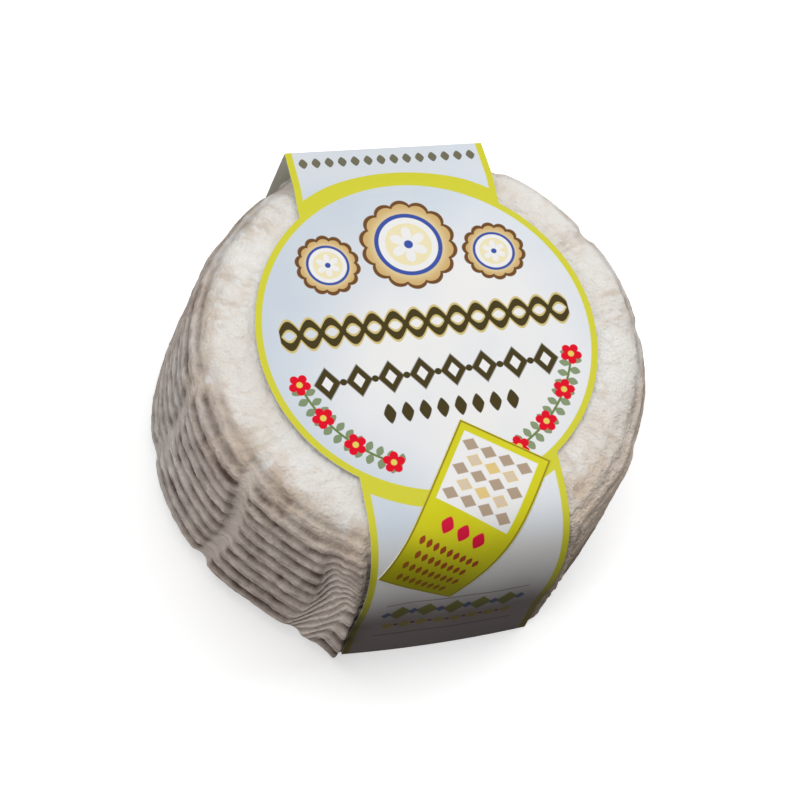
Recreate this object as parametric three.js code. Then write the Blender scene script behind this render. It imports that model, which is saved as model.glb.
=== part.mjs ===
// A small white-mould goat's cheese in a printed paper band, with a sticker on the band.
// Millimetres, Z up. The band runs along Y with its front towards -Y. The origin is on the
// underside of the band, below the middle of the cheese, where the whole thing rests.
import * as THREE from 'three';

const { degToRad, clamp, lerp, smoothstep } = THREE.MathUtils;

// Cheese: a wheel that widens towards its foot, with soft shoulders and a slightly domed top
const shoulderTopZ = 56.9;
const topDome = 0.7;
const wallTopRadius = 61.9;
const shoulderWidth = 15;
const shoulderDrop = 12;
const shoulderSquareness = 2.4;
const footRadius = 65.6;
const footWidth = 5;
const footRise = 6;
const wallBelly = 0.4;

// The wheel is squeezed a little narrower across one diagonal
const squeeze = 2.5;
const squeezeAngle = 138;
const squeezeSharpness = 3;

// Pleats that the draining cloth left, and the lobes between them: the angle of each and its share of
// the full depth. At a dragged pleat the level ridges end. Pleats bow sideways on their way down.
const pleats = [
  { angle: -1, depth: 0.35 }, { angle: 28, depth: 0.6 }, { angle: 57, depth: 0.6 },
  { angle: 87, depth: 0.8 }, { angle: 117, depth: 0.6 }, { angle: 146, depth: 0.1 },
  { angle: 180, depth: 0.5 }, { angle: 208, depth: 0.9 }, { angle: 235.5, depth: 0.6, dragged: true },
  { angle: 267, depth: 0.8 }, { angle: 297, depth: 0.6 }, { angle: 327, depth: 0.1 },
];
const pleatDepth = 1.6;
const pleatLeft = -3.6;
const pleatFloorLeft = -0.6;
const pleatFloorRight = 0.8;
const pleatRight = 2.6;
const pleatStart = 3;
const pleatFull = 18;
const pleatTraceStart = -6;
const pleatTraceFull = 2;
const pleatTrace = 0.15;
const pleatBow = 2.7;
const bowStart = 12;
const bowLength = 45;
const bowFadeIn = 10;
const lobeSwell = 0.4;
const lobeHalfAngle = 9;

// Level ridges that the plaited mould left, each broader than the one above. They begin further
// down on one side.
const firstValley = 12;
const firstPitch = 4.5;
const pitchGrowth = 0.16;
const shoulderRidgeDepth = 0.45;
const wallRidgeDepth = 1.45;
const ridgeWander = 0.3;
const wanderWaves = [{ count: 5, phase: 0.7, share: 1 }, { count: 11, phase: 2.1, share: 0.6 }];
const deepenStart = 8;
const deepenFull = 22;
const fadeInBefore = 2;
const fadeInAfter = 6;
const ridgeReach = 8.7;
const ridgeReachChange = 4.4;
const ridgeReachAngle = 75;

// Where the ridges stop: on a pleat's smooth floor, or over the lower part of a dragged pleat
const floorFrom = -1.8;
const floorTo = 1.6;
const floorStart = 6;
const floorFull = 14;
const dragFrom = -3;
const dragTo = 6.5;
const dragStart = 16;
const dragFull = 28;

// Where the wall swells or sinks in, over how many degrees to each side, and the share that is left of
// it at the foot. The front swells on both sides of the band, which holds it flat in between.
const wallSwells = [
  { angle: 146, out: 1, halfAngle: 6, atFoot: 0.2 },
  { angle: 223, out: -1.1, halfAngle: 9, atFoot: 1 }, { angle: 248, out: 4.6, halfAngle: 5.2, atFoot: 1 },
  { angle: 293, out: 3.6, halfAngle: 6.5, atFoot: 1 }, { angle: 322, out: 1.1, halfAngle: 9, atFoot: 0.1 },
];
const swellFadeStart = 18;
const swellFadeEnd = 45;

// Paper band: one closed strip with a round widening on top
const bandWidth = 51.3;
const paperThickness = 0.5;
const gap = 0.3;
const discRadius = 44.3;
const discCentre = -3.25;
const bandTopZ = 57.7;
const bandDome = 0.7;
const creaseY = 59.3;
const creaseZ = 54.2;
const liftStartY = 46.7;
const bendLength = 24;
const bendDrop = 41.7;
const bendSquareness = 3.15;
const bandFrontY = 59.2;
const bandFrontFootY = 60.9;
const bandBackFootY = 66;
const bandTurn = degToRad(-1.05);
const bandShift = 1.4;

// The rear crease lies askew, and the rear of the band is wider and leans to one side as it rises
const creaseSkew = 0.036;
const skewFullY = 60;
const skewFullZ = 50;
const rearWidening = 1.2;
const wideUntil = 56;
const wideningGone = 90;
const rearLean = 0.7;
const leanStartY = 41;

// The front is bowed out towards its foot
const frontBow = 0.9;
const frontBowFullY = 50;
const frontBowSharpness = 4;
const frontBowTopZ = 30;

const bandColumns = 8;
const pressFull = 4;
const pressFade = 9;

// Sticker: a rectangle laid askew over the band's front bend, measured on the flat paper
const stickerWidth = 25;
const stickerLength = 47.4;
const stickerAcross = -0.1;
const stickerAlong = 47.8;
const stickerAngle = degToRad(33.8);
const stickerThickness = 0.4;

const paperMaterial = (colour) => new THREE.MeshStandardMaterial({
  color: colour, roughness: 0.45, metalness: 0,
});
const cheeseMaterial = new THREE.MeshStandardMaterial({ color: 0xe6e0d6, roughness: 0.9, metalness: 0 });

// The band's side view: its outer face from the back crease over the top and down to the front foot.

function bandTopHeight(y) {
  return bandTopZ + bandDome * (1 - (y / wallTopRadius) ** 2);
}

function frontSideView() {
  const points = [new THREE.Vector2(creaseY, creaseZ)];
  const flatSteps = 60;
  const bendStartY = bendLength - bandFrontY;
  for (let i = 0; i <= flatSteps; i++) {
    const y = lerp(liftStartY, bendStartY, i / flatSteps);
    points.push(new THREE.Vector2(y, bandTopHeight(y)));
  }
  const bendTopZ = bandTopHeight(bendStartY);
  const bendSteps = 80;
  for (let i = 1; i <= bendSteps; i++) {
    const t = (i / bendSteps) * Math.PI / 2;
    const out = Math.sin(t) ** (2 / bendSquareness);
    const down = 1 - Math.max(Math.cos(t), 0) ** (2 / bendSquareness);
    points.push(new THREE.Vector2(bendStartY - bendLength * out, bendTopZ - bendDrop * down));
  }
  points.push(new THREE.Vector2(-bandFrontFootY, 0));
  return points;
}

function measured(points) {
  let length = 0;
  let atMiddle = 0;
  const marks = points.map((point, i) => {
    if (i > 0) {
      const before = points[i - 1];
      const step = point.distanceTo(before);
      const crossesMiddle = before.x > 0 && point.x <= 0;
      if (crossesMiddle) atMiddle = length + step * before.x / (before.x - point.x);
      length += step;
    }
    return { point, length };
  });
  return marks.map((mark) => ({ point: mark.point, along: mark.length - atMiddle }));
}

const sideView = measured(frontSideView());
const creaseAlong = sideView[0].along;
const frontFootAlong = sideView.at(-1).along;

function sideViewAt(along) {
  let i = 1;
  while (i < sideView.length - 1 && sideView[i].along < along) i++;
  const [before, after] = [sideView[i - 1], sideView[i]];
  const share = (along - before.along) / (after.along - before.along);
  return before.point.clone().lerp(after.point, share);
}

// The band is a little wider on both sides of its rear crease, and round on top
function straightHalfWidth(fromCrease) {
  const share = clamp((wideningGone - fromCrease) / (wideningGone - wideUntil), 0, 1);
  return bandWidth / 2 + rearWidening * share;
}

function halfWidthAt(along) {
  const fromCentre = along - discCentre;
  const straight = straightHalfWidth(along - creaseAlong);
  if (Math.abs(fromCentre) >= discRadius) return straight;
  return Math.max(straight, Math.sqrt(discRadius ** 2 - fromCentre ** 2));
}

function spread(from, to, steps) {
  return Array.from({ length: steps }, (_, i) => lerp(from, to, i / steps));
}

function bandStations() {
  const cornerAngle = Math.acos(bandWidth / 2 / discRadius);
  const rearCornerAngle = Math.acos((bandWidth / 2 + rearWidening) / discRadius);
  const discRow = (angle) => discCentre + discRadius * Math.sin(angle);
  const rearRows = 5;
  const discRows = 16;
  const frontRows = 25;
  const baseRows = 4;
  const backRows = 6;
  const alongs = [
    ...spread(creaseAlong, discRow(-rearCornerAngle), rearRows),
    ...spread(-rearCornerAngle, cornerAngle, discRows).map(discRow),
    ...spread(discRow(cornerAngle), frontFootAlong, frontRows),
  ];
  const stations = alongs.map((along) => ({ at: sideViewAt(along), halfWidth: halfWidthAt(along) }));
  const frontFoot = new THREE.Vector2(-bandFrontFootY, 0);
  const backFoot = new THREE.Vector2(bandBackFootY, 0);
  const crease = new THREE.Vector2(creaseY, creaseZ);
  const backHeight = backFoot.distanceTo(crease);
  const pushStraight = (at, fromCrease) => stations.push({ at, halfWidth: straightHalfWidth(fromCrease) });
  for (const share of spread(0, 1, baseRows)) {
    const at = frontFoot.clone().lerp(backFoot, share);
    pushStraight(at, backHeight + at.distanceTo(backFoot));
  }
  for (const share of spread(0, 1, backRows)) {
    const at = backFoot.clone().lerp(crease, share);
    pushStraight(at, at.distanceTo(crease));
  }
  stations.forEach((station, i) => {
    const before = stations.at(i - 1).at;
    const after = stations[(i + 1) % stations.length].at;
    const normalOf = (from, to) => new THREE.Vector2(to.y - from.y, from.x - to.x).normalize();
    const into = normalOf(before, station.at);
    const out = normalOf(station.at, after);
    const middle = into.clone().add(out).normalize();
    station.normal = middle.multiplyScalar(1 / middle.dot(out));
  });
  return stations;
}

const stations = bandStations();

// How far a point of the band moves forwards: askew at the back crease, bowed out at the front foot
function skewAt(x, y, z) {
  const askew = creaseSkew * x * clamp(y / skewFullY, 0, 1) * clamp(z / skewFullZ, 0, 1);
  const middle = Math.max(1 - (2 * x / bandWidth) ** 2, 0);
  const lowDown = clamp(1 - z / frontBowTopZ, 0, 1);
  return askew + frontBow * middle * clamp(-y / frontBowFullY, 0, 1) ** frontBowSharpness * lowDown;
}

// How far a point at the band's rear moves sideways
function leanAt(y, z) {
  return rearLean * clamp((y - leanStartY) / (creaseY - leanStartY), 0, 1) * clamp(z / creaseZ, 0, 1);
}

// From the band's own frame to the object's: leaned, skewed and bowed, then turned and shifted
function placeBand(x, y, z) {
  const skewed = y - skewAt(x, y, z);
  const leaned = x + leanAt(y, z);
  return new THREE.Vector3(
    leaned * Math.cos(bandTurn) - skewed * Math.sin(bandTurn) + bandShift,
    leaned * Math.sin(bandTurn) + skewed * Math.cos(bandTurn),
    z,
  );
}

function toBandFrame(point) {
  const x = point.x - bandShift;
  const turned = {
    x: x * Math.cos(bandTurn) + point.y * Math.sin(bandTurn),
    y: -x * Math.sin(bandTurn) + point.y * Math.cos(bandTurn),
  };
  turned.x -= leanAt(turned.y, point.z);
  turned.y += skewAt(turned.x, turned.y, point.z);
  return turned;
}

// A closed thin sheet from rows of outer points and the same rows of inner points
function sheetSolid(outer, inner, closedLoop) {
  const rows = outer.length;
  const columns = outer[0].length;
  const positions = [...outer.flat(), ...inner.flat()].flatMap((p) => [p.x, p.y, p.z]);
  const index = [];
  const outerAt = (i, j) => (i % rows) * columns + j;
  const innerAt = (i, j) => rows * columns + outerAt(i, j);
  const quad = (a, b, c, d) => index.push(a, b, c, a, c, d);
  const lastRow = closedLoop ? rows : rows - 1;
  for (let i = 0; i < lastRow; i++) {
    for (let j = 0; j < columns - 1; j++) {
      quad(outerAt(i, j), outerAt(i + 1, j), outerAt(i + 1, j + 1), outerAt(i, j + 1));
      quad(innerAt(i, j), innerAt(i, j + 1), innerAt(i + 1, j + 1), innerAt(i + 1, j));
    }
    quad(outerAt(i, 0), innerAt(i, 0), innerAt(i + 1, 0), outerAt(i + 1, 0));
    const end = columns - 1;
    quad(outerAt(i, end), outerAt(i + 1, end), innerAt(i + 1, end), innerAt(i, end));
  }
  if (!closedLoop) {
    for (let j = 0; j < columns - 1; j++) {
      quad(outerAt(0, j), outerAt(0, j + 1), innerAt(0, j + 1), innerAt(0, j));
      quad(outerAt(rows - 1, j), innerAt(rows - 1, j), innerAt(rows - 1, j + 1), outerAt(rows - 1, j + 1));
    }
  }
  const geometry = new THREE.BufferGeometry();
  geometry.setAttribute('position', new THREE.Float32BufferAttribute(positions, 3));
  geometry.setIndex(index);
  return geometry;
}

function bandGeometry() {
  const rowAt = (station, inward) => Array.from({ length: bandColumns + 1 }, (_, j) => {
    const x = lerp(-station.halfWidth, station.halfWidth, j / bandColumns);
    const at = station.at.clone().addScaledVector(station.normal, -inward);
    return placeBand(x, at.x, at.y);
  });
  const outer = stations.map((station) => rowAt(station, 0));
  const inner = stations.map((station) => rowAt(station, paperThickness));
  return sheetSolid(outer, inner, true);
}

// A point on the band's outer face, lifted off it
function onBand(x, along, lift) {
  const step = 0.5;
  const at = sideViewAt(along);
  const tangent = sideViewAt(along + step).sub(sideViewAt(along - step)).normalize();
  return placeBand(x, at.x + tangent.y * lift, at.y - tangent.x * lift);
}

function stickerGeometry() {
  const columns = 10;
  const rows = 20;
  const face = (lift) => Array.from({ length: rows + 1 }, (_, i) =>
    Array.from({ length: columns + 1 }, (_, j) => {
      const across = lerp(-stickerWidth / 2, stickerWidth / 2, j / columns);
      const down = lerp(-stickerLength / 2, stickerLength / 2, i / rows);
      const x = stickerAcross + across * Math.cos(stickerAngle) - down * Math.sin(stickerAngle);
      const along = stickerAlong + across * Math.sin(stickerAngle) + down * Math.cos(stickerAngle);
      return onBand(x, along, lift);
    }));
  return sheetSolid(face(gap + stickerThickness), face(gap), false);
}

// The cheese's half section, from the middle of the top to the middle of its base.
// Lengths along it count from where the shoulder starts.

const shoulderStartRadius = wallTopRadius - shoulderWidth;
const baseZ = paperThickness + gap;
const wallTopZ = shoulderTopZ - shoulderDrop;
const footTopZ = baseZ + footRise;

const topSteps = 12;

function halfSection() {
  const points = [];
  const add = (r, z) => points.push(new THREE.Vector2(r, z));
  for (let i = 0; i < topSteps; i++) {
    const r = shoulderStartRadius * i / topSteps;
    add(r, shoulderTopZ + topDome * (1 - (r / shoulderStartRadius) ** 2));
  }
  const shoulderSteps = 40;
  for (let i = 0; i <= shoulderSteps; i++) {
    const t = (i / shoulderSteps) * Math.PI / 2;
    const out = Math.sin(t) ** (2 / shoulderSquareness);
    const down = 1 - Math.max(Math.cos(t), 0) ** (2 / shoulderSquareness);
    add(shoulderStartRadius + shoulderWidth * out, shoulderTopZ - shoulderDrop * down);
  }
  const wallSteps = 40;
  for (let i = 1; i <= wallSteps; i++) {
    const share = i / wallSteps;
    const belly = wallBelly * Math.sin(Math.PI * share);
    add(lerp(wallTopRadius, footRadius, share) + belly, lerp(wallTopZ, footTopZ, share));
  }
  const footSteps = 12;
  for (let i = 1; i <= footSteps; i++) {
    const t = (i / footSteps) * Math.PI / 2;
    add(footRadius - footWidth * (1 - Math.cos(t)), footTopZ - footRise * Math.sin(t));
  }
  add(0, baseZ);
  return points;
}

const section = halfSection();
const sectionLengths = section.map(() => 0);
section.forEach((point, i) => {
  if (i > 0) sectionLengths[i] = sectionLengths[i - 1] + point.distanceTo(section[i - 1]);
});
const shoulderLength = sectionLengths[topSteps];
const footEnd = sectionLengths.at(-2) - shoulderLength;

function sectionAt(down) {
  const target = down + shoulderLength;
  let i = 1;
  while (i < section.length - 1 && sectionLengths[i] < target) i++;
  const share = clamp((target - sectionLengths[i - 1]) / (sectionLengths[i] - sectionLengths[i - 1]), 0, 1);
  const tangent = section[i].clone().sub(section[i - 1]).normalize();
  return {
    at: section[i - 1].clone().lerp(section[i], share),
    normal: new THREE.Vector2(-tangent.y, tangent.x),
  };
}

// The nearest pleat and the signed degrees from it
function nearestPleat(degrees) {
  const turned = pleats.map((pleat) => ({ pleat, away: ((degrees - pleat.angle + 540) % 360) - 180 }));
  return turned.reduce((best, next) => (Math.abs(next.away) < Math.abs(best.away) ? next : best));
}

function bowAt(down) {
  return pleatBow * Math.sin(Math.PI * (down - bowStart) / bowLength) * smoothstep(down, -bowFadeIn, 0);
}

function ridgeValley(down) {
  const past = firstPitch ** 2 + 4 * pitchGrowth * (down - firstValley);
  const valleysPassed = (Math.sqrt(Math.max(past, 0)) - firstPitch) / (2 * pitchGrowth);
  return 0.5 + 0.5 * Math.cos(2 * Math.PI * valleysPassed);
}

function levelShare(down, away, pleat) {
  if (pleat.dragged) {
    const onDrag = smoothstep(away, dragFrom, dragFrom / 2) * (1 - smoothstep(away, dragTo - 2, dragTo));
    return 1 - onDrag * smoothstep(down, dragStart, dragFull);
  }
  const leftEdge = smoothstep(away, floorFrom, pleatFloorLeft);
  const rightEdge = 1 - smoothstep(away, pleatFloorRight, floorTo);
  return 1 - leftEdge * rightEdge * smoothstep(down, floorStart, floorFull);
}

function ridgeCut(down, degrees, away, pleat) {
  const turn = degToRad(degrees);
  const wander = wanderWaves
    .map(({ count, phase, share }) => share * Math.sin(count * turn + phase))
    .reduce((sum, wave) => sum + wave);
  const reach = ridgeReach + ridgeReachChange * Math.cos(degToRad(degrees - ridgeReachAngle));
  const depth = lerp(shoulderRidgeDepth, wallRidgeDepth, smoothstep(down, deepenStart, deepenFull));
  const strength = smoothstep(down - reach, -fadeInBefore, fadeInAfter) * levelShare(down, away, pleat);
  return depth * strength * ridgeValley(down - ridgeWander * wander);
}

function lobeRelief(down, degrees, away, pleat) {
  const trace = pleatTrace * smoothstep(down, pleatTraceStart, pleatTraceFull);
  const pleated = trace + (1 - pleatTrace) * smoothstep(down, pleatStart, pleatFull);
  const swell = lobeSwell * Math.sin(Math.min(Math.abs(away) / lobeHalfAngle, 1) * Math.PI / 2);
  const leftSide = smoothstep(away, pleatLeft, pleatFloorLeft);
  const rightSide = 1 - smoothstep(away, pleatFloorRight, pleatRight);
  const lowDown = smoothstep(down, swellFadeStart, swellFadeEnd);
  const wallSwell = wallSwells
    .map(({ angle, out, halfAngle, atFoot }) =>
      out * Math.exp(-(((degrees - angle) / halfAngle) ** 2)) * lerp(1, atFoot, lowDown))
    .reduce((sum, out) => sum + out);
  return (swell - pleatDepth * pleat.depth * leftSide * rightSide + wallSwell) * pleated;
}

// Moves a point inwards where it would reach the paper, easing off beside it
function keepInsideBand(point) {
  const local = toBandFrame(point);
  const here = new THREE.Vector2(local.y, point.z);
  let nearest = null;
  stations.forEach((station, i) => {
    const next = stations[(i + 1) % stations.length];
    const edge = next.at.clone().sub(station.at);
    const share = clamp(here.clone().sub(station.at).dot(edge) / edge.lengthSq(), 0, 1);
    const foot = station.at.clone().addScaledVector(edge, share);
    const distance = foot.distanceTo(here);
    if (nearest && distance >= nearest.distance) return;
    const normal = new THREE.Vector2(edge.y, -edge.x).normalize();
    const side = Math.sign(here.clone().sub(foot).dot(normal)) || 1;
    nearest = {
      distance, side, normal,
      halfWidth: lerp(station.halfWidth, next.halfWidth, share),
    };
  });
  const beside = Math.abs(local.x) - nearest.halfWidth;
  const pressed = 1 - smoothstep(beside, pressFull, pressFade);
  const excess = (nearest.distance * nearest.side + paperThickness + gap) * pressed;
  if (excess <= 0) return point;
  return placeBand(local.x, local.y - nearest.normal.x * excess, point.z - nearest.normal.y * excess);
}

// A point of the rind on a column that bows sideways with the pleats
function cheesePoint(down, column) {
  const { at, normal } = sectionAt(down);
  const { pleat, away } = nearestPleat(column);
  const degrees = column + bowAt(down);
  const turnIn = at.y < footTopZ ? normal.x : 1;
  const relief = (lobeRelief(down, degrees, away, pleat) - ridgeCut(down, degrees, away, pleat)) * turnIn;
  const across = 0.5 + 0.5 * Math.cos(2 * degToRad(degrees - squeezeAngle));
  const narrowed = 1 - squeeze * across ** squeezeSharpness / footRadius;
  const r = (at.x + normal.x * relief) * narrowed;
  const z = Math.max(at.y + normal.y * relief, baseZ);
  const angle = degToRad(degrees);
  return keepInsideBand(new THREE.Vector3(r * Math.cos(angle), r * Math.sin(angle), z));
}

// Rows from the top to the base, with one on every ridge, valley and slope between them
function cheeseRows() {
  const topRows = [-24, -11, -4, 0, 4];
  const footRows = [6.5, 4.8, 3, 1.4, 0];
  const baseRowStep = 18;
  const lastRidgeRow = footEnd - 7.5;
  const ridgeRows = [];
  const quarter = 0.25;
  const valleyDown = (n) => firstValley + (firstPitch + pitchGrowth * n) * n;
  for (let n = -1; valleyDown(n) < lastRidgeRow; n += quarter) ridgeRows.push(valleyDown(n));
  return [...topRows, ...ridgeRows, ...footRows.map((before) => footEnd - before), footEnd + baseRowStep];
}

// Columns on the sides and floor of every pleat, and further apart across the lobes
function cheeseColumns() {
  return pleats.flatMap((pleat, i) => {
    const next = i + 1 < pleats.length ? pleats[i + 1].angle : pleats[0].angle + 360;
    const span = next - pleat.angle;
    const right = [pleatFloorRight, pleatRight, (pleatRight + lobeHalfAngle) / 2, lobeHalfAngle, span / 2];
    const left = [span - lobeHalfAngle, span + pleatLeft, span + pleatFloorLeft];
    return [...right, ...left].map((step) => pleat.angle + step);
  });
}

function cheeseGeometry() {
  const rows = cheeseRows();
  const columns = cheeseColumns();
  const positions = [0, 0, shoulderTopZ + topDome];
  for (const down of rows) {
    for (const degrees of columns) positions.push(...cheesePoint(down, degrees).toArray());
  }
  positions.push(0, 0, baseZ);
  const last = positions.length / 3 - 1;
  const at = (i, j) => 1 + i * columns.length + (j % columns.length);
  const index = [];
  for (let j = 0; j < columns.length; j++) {
    index.push(0, at(0, j), at(0, j + 1));
    for (let i = 0; i < rows.length - 1; i++) {
      index.push(at(i, j), at(i + 1, j), at(i + 1, j + 1));
      index.push(at(i, j), at(i + 1, j + 1), at(i, j + 1));
    }
    index.push(last, at(rows.length - 1, j + 1), at(rows.length - 1, j));
  }
  const geometry = new THREE.BufferGeometry();
  geometry.setAttribute('position', new THREE.Float32BufferAttribute(positions, 3));
  geometry.setIndex(index);
  return geometry;
}

function named(name, geometry, material) {
  const mesh = new THREE.Mesh(geometry, material);
  mesh.name = name;
  return mesh;
}

const object = new THREE.Group();
object.add(named('cheese', cheeseGeometry(), cheeseMaterial));
object.add(named('band', bandGeometry(), paperMaterial(0xdfe3ea)));
object.add(named('sticker', stickerGeometry(), paperMaterial(0xb9b41e)));

export default object;
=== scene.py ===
"""A small white-mould goat's cheese in a printed paper band with a sticker on it.

Sizes are in millimetres and are turned into metres where a mesh is made. The band runs along Y with
its front towards -Y, and `along` counts millimetres on its outer face from the middle of the top.
"""

from math import acos, cos, pi, radians, sin

import bpy
import numpy as np
from mathutils import Matrix, Vector


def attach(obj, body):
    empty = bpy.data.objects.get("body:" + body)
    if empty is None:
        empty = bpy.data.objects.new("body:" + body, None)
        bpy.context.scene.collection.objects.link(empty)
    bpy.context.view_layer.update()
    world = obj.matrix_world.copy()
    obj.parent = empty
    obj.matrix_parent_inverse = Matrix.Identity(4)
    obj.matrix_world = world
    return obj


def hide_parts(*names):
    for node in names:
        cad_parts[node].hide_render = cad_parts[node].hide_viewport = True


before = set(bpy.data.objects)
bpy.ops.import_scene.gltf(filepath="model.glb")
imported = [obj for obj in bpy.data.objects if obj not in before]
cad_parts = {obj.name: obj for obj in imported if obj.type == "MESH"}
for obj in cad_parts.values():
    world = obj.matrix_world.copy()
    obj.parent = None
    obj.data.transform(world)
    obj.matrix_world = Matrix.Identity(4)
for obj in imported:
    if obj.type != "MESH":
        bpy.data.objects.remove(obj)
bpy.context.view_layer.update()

MM = 0.001

# Camera, fitted to the photograph: a small picture square of 800 pixels a side
CAMERA_AZIMUTH = radians(-37.15)
CAMERA_ELEVATION = radians(64.0)
CAMERA_ROLL = radians(26.41)
CAMERA_DISTANCE = 547.8
CAMERA_TARGET = Vector((-1.54, -2.4, 28.84))
CAMERA_FOCUS_PIXELS = 2068.76
PICTURE_PIXELS = 800
SENSOR_WIDTH = 36

# Cheese: a wheel that widens towards its foot, with soft shoulders and a slightly domed top. Its sides have
# pleats, lobes between them and level ridges, each broader than the one above it.
WHEEL_SIZES = {
    "Shoulder Top": 56.9, "Top Dome": 0.7, "Wall Top Radius": 61.9, "Shoulder Width": 15, "Shoulder Drop": 12,
    "Shoulder Squareness": 2.4, "Foot Radius": 65.6, "Foot Width": 5, "Foot Rise": 6, "Wall Belly": 0.4,
    "Base Height": 0.8, "Squeeze": 2.5, "Pleat Depth": 1.6, "Lobe Swell": 0.4, "First Valley": 12,
    "First Pitch": 4.5, "Pitch Growth": 0.16, "Shoulder Ridge Depth": 0.45, "Wall Ridge Depth": 1.45,
    "Ridge Wander": 0.3, "Seed": 17,
}
WHEEL_COLUMNS = 600
WHEEL_ROWS = 162
# Points nearer to each other than this are joined, where the grid closes
MERGE_DISTANCE = 0.001
# The squeeze makes the wheel a little narrower across one diagonal
SQUEEZE_ANGLE = 138
SQUEEZE_SHARPNESS = 3

# Pleats left by the draining cloth: the angle of each in degrees, its share of the full depth, and how far
# the ridges are dragged up across it in mm. They bow sideways on their way down.
PLEAT_MARKS = [
    (-1, 0.35, 0), (28, 0.6, 0), (57, 0.6, 0), (87, 0.8, 0), (117, 0.6, 0), (146, 0.1, 0),
    (180, 0.5, 0), (208, 0.9, 0), (235.5, 0.6, 38), (267, 0.8, 0), (297, 0.6, 0), (327, 0.1, 0),
]
PLEAT_BOW = 2.7
PLEAT_BOW_START = 12
PLEAT_BOW_LENGTH = 45
PLEAT_START = 3
PLEAT_FULL = 18
LOBE_HALF_ANGLE = 9
# This share of the pleats shows from higher up, on the shoulder
PLEAT_HINT = 0.15
# From this share of the depth up a pleat has its whole floor and the painted shadow beside it, and from this
# drag up the ridges across it are dragged wholly
MARKED_DEPTH = 0.5
MARKED_DRAG = 10

# The ridges wander round the wheel: how many waves a turn has, where each starts in radians, and its share
WANDER_WAVES = [(5, 0.7, 1), (11, 2.1, 0.6)]
# A fine groove splits each ridge in two strands, which have small lumps of this height
STRAND_GROOVE_DEPTH = 0.35
STRAND_GROOVE_SHARPNESS = 7
STRAND_HEIGHT = 0.25
# The painted shade in the valleys of the shoulder, and what the wall adds to it
SHOULDER_SHADE = 0.45
WALL_SHADE = 0.55
# The ridges come and go in patches by this share
PATCHINESS = 0.5
# On one side the ridges are shallower by the first share, and calmer and paler by the second
FAINT_SIDE_ANGLE = 308
FAINT_SIDE_HALF_ANGLE = 32
FAINT_SIDE_LOSS = 0.45
FAINT_SIDE_CALM = 0.6
# On the side where the white top is short they are deeper on the shoulder, and their painted shade darker
DEEP_SHOULDER_ANGLE = 200
DEEP_SHOULDER_HALF_ANGLE = 24
DEEP_SHOULDER_GAIN = 1.2
DEEP_SHOULDER_SHADE = 0.3

# Noises added up: the size of the lumps in mm, their height in mm, and a step of the seed
WOBBLES = [(6, 1.1, 0), (2.2, 0.8, 8)]
LUMPS = [(24, 0.3, 4), (6, 0.2, 5)]
# The finest lumps, whose height grows from the third to the fourth number between the first two, going down
FINE_LUMPS = 2.0
FINE_LUMP_HEIGHTS = (0, 12, 0.08, 0.16)
# A degree round the wheel is about this many millimetres at its wall
DEGREE_MM = 1.1

# Spans over which a thing comes in or goes, in degrees from its pleat
PLEAT_SIDES = ((-3.6, -0.6), (2.6, 0.8))
FLOOR_SIDES = ((-2.4, -1.0), (2.3, 0.9))
FOLD_SIDES = ((-4, -2.4), (-0.2, -1.6))
DRAG_SIDES = ((-3, -1.5), (6.5, 4.5))
DRAG_SLOPE = (-2.6, 4.6)
# The same in millimetres down the section, from where the shoulder starts
BOW_DOWN = (-10, 0)
HINT_DOWN = (-6, 2)
FLOOR_DOWN = (6, 14)
FOLD_DOWN = ((10, 18), (46, 34))
DRAG_DOWN = (12, 34)
TURNED_DOWN = (16, 28)
DEEP_DOWN = (8, 22)
STREAK_DOWN = ((-2, 4), (24, 16))
# The same below the white top's edge
RIDGES_IN = (-2, 4)

# White mould on top: how far down the wall's length it reaches, and the side where it reaches furthest
WHITE_REACH = 8.7
WHITE_REACH_CHANGE = 4.4
WHITE_SIDE_ANGLE = 75
# Its edge is ragged, with lumps of this size that reach this far
RAGGED_LUMPS = 9
RAGGED_REACH = 4
# On the far side the white colour goes on past where the ridges start. The span is of the angle's cosine.
FAR_SIDE_ANGLE = 62
FAR_SIDE_REACH = 7
FAR_SIDE_SPAN = (-0.3, 0.5)
# At a pleat the white runs further down
TONGUE_REACH = 4.5
TONGUE_HALF_ANGLE = 2.4

# Sides of the wall painted another colour, one of them paler as painted light: the angle, over how many
# degrees to each side, and the span down the section over which it comes in
COLOURED_SIDES = {
    # The last of these sides is painted light: the wall there is painted paler, as if lit more
    "ruddy": (192, 13, (7, 13)), "tan_side": (310, 30, (8, 18)), "pale_side": (178, 17, (6, 14)),
}
RUDDY_GONE_DOWN = (30, 16)

# Veins of the mould: the size of their cells, how far these are warped, and in which patches they show
VEIN_CELL = 6.5
VEIN_WARP = 9.0
VEIN_PATCH = 11
VEIN_PATCH_SPAN = (-0.45, 0.25)
VEIN_WIDTH = 0.13
VEIN_HEIGHT = 0.2
VEIN_GONE_DOWN = (13, 3)

# Where the wall swells or sinks in, as it does on both sides of the band: the angle, how far out, over how
# many degrees to each side, and the share of it that is left at the foot
WALL_SWELLS = [
    (146, 1, 6, 0.2), (223, -1.1, 9, 1), (248, 4.6, 5.2, 1), (293, 3.6, 6.5, 1), (322, 1.1, 9, 0.1),
]
SWELL_FADE_START = 18
SWELL_FADE_END = 45

# Paper band: one closed strip with a round widening on top
BAND_WIDTH = 51.3
PAPER_THICKNESS = 0.3
DISC_RADIUS = 44.3
DISC_CENTRE = -3.25
BAND_TOP_Z = 57.7
BAND_DOME = 0.7
CREASE_Y = 59.3
CREASE_Z = 54.2
LIFT_START_Y = 46.7
BEND_LENGTH = 24
BEND_DROP = 41.7
BEND_SQUARENESS = 3.15
BAND_FRONT_Y = 59.2
BAND_FRONT_FOOT_Y = 60.9
BAND_BACK_FOOT_Y = 66
BAND_TURN = radians(-1.05)
BAND_SHIFT = 1.4
BAND_COLUMNS = 44
TOP_POINTS = 100
BEND_POINTS = 120
BAND_ROW_STEP = 1.1
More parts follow.
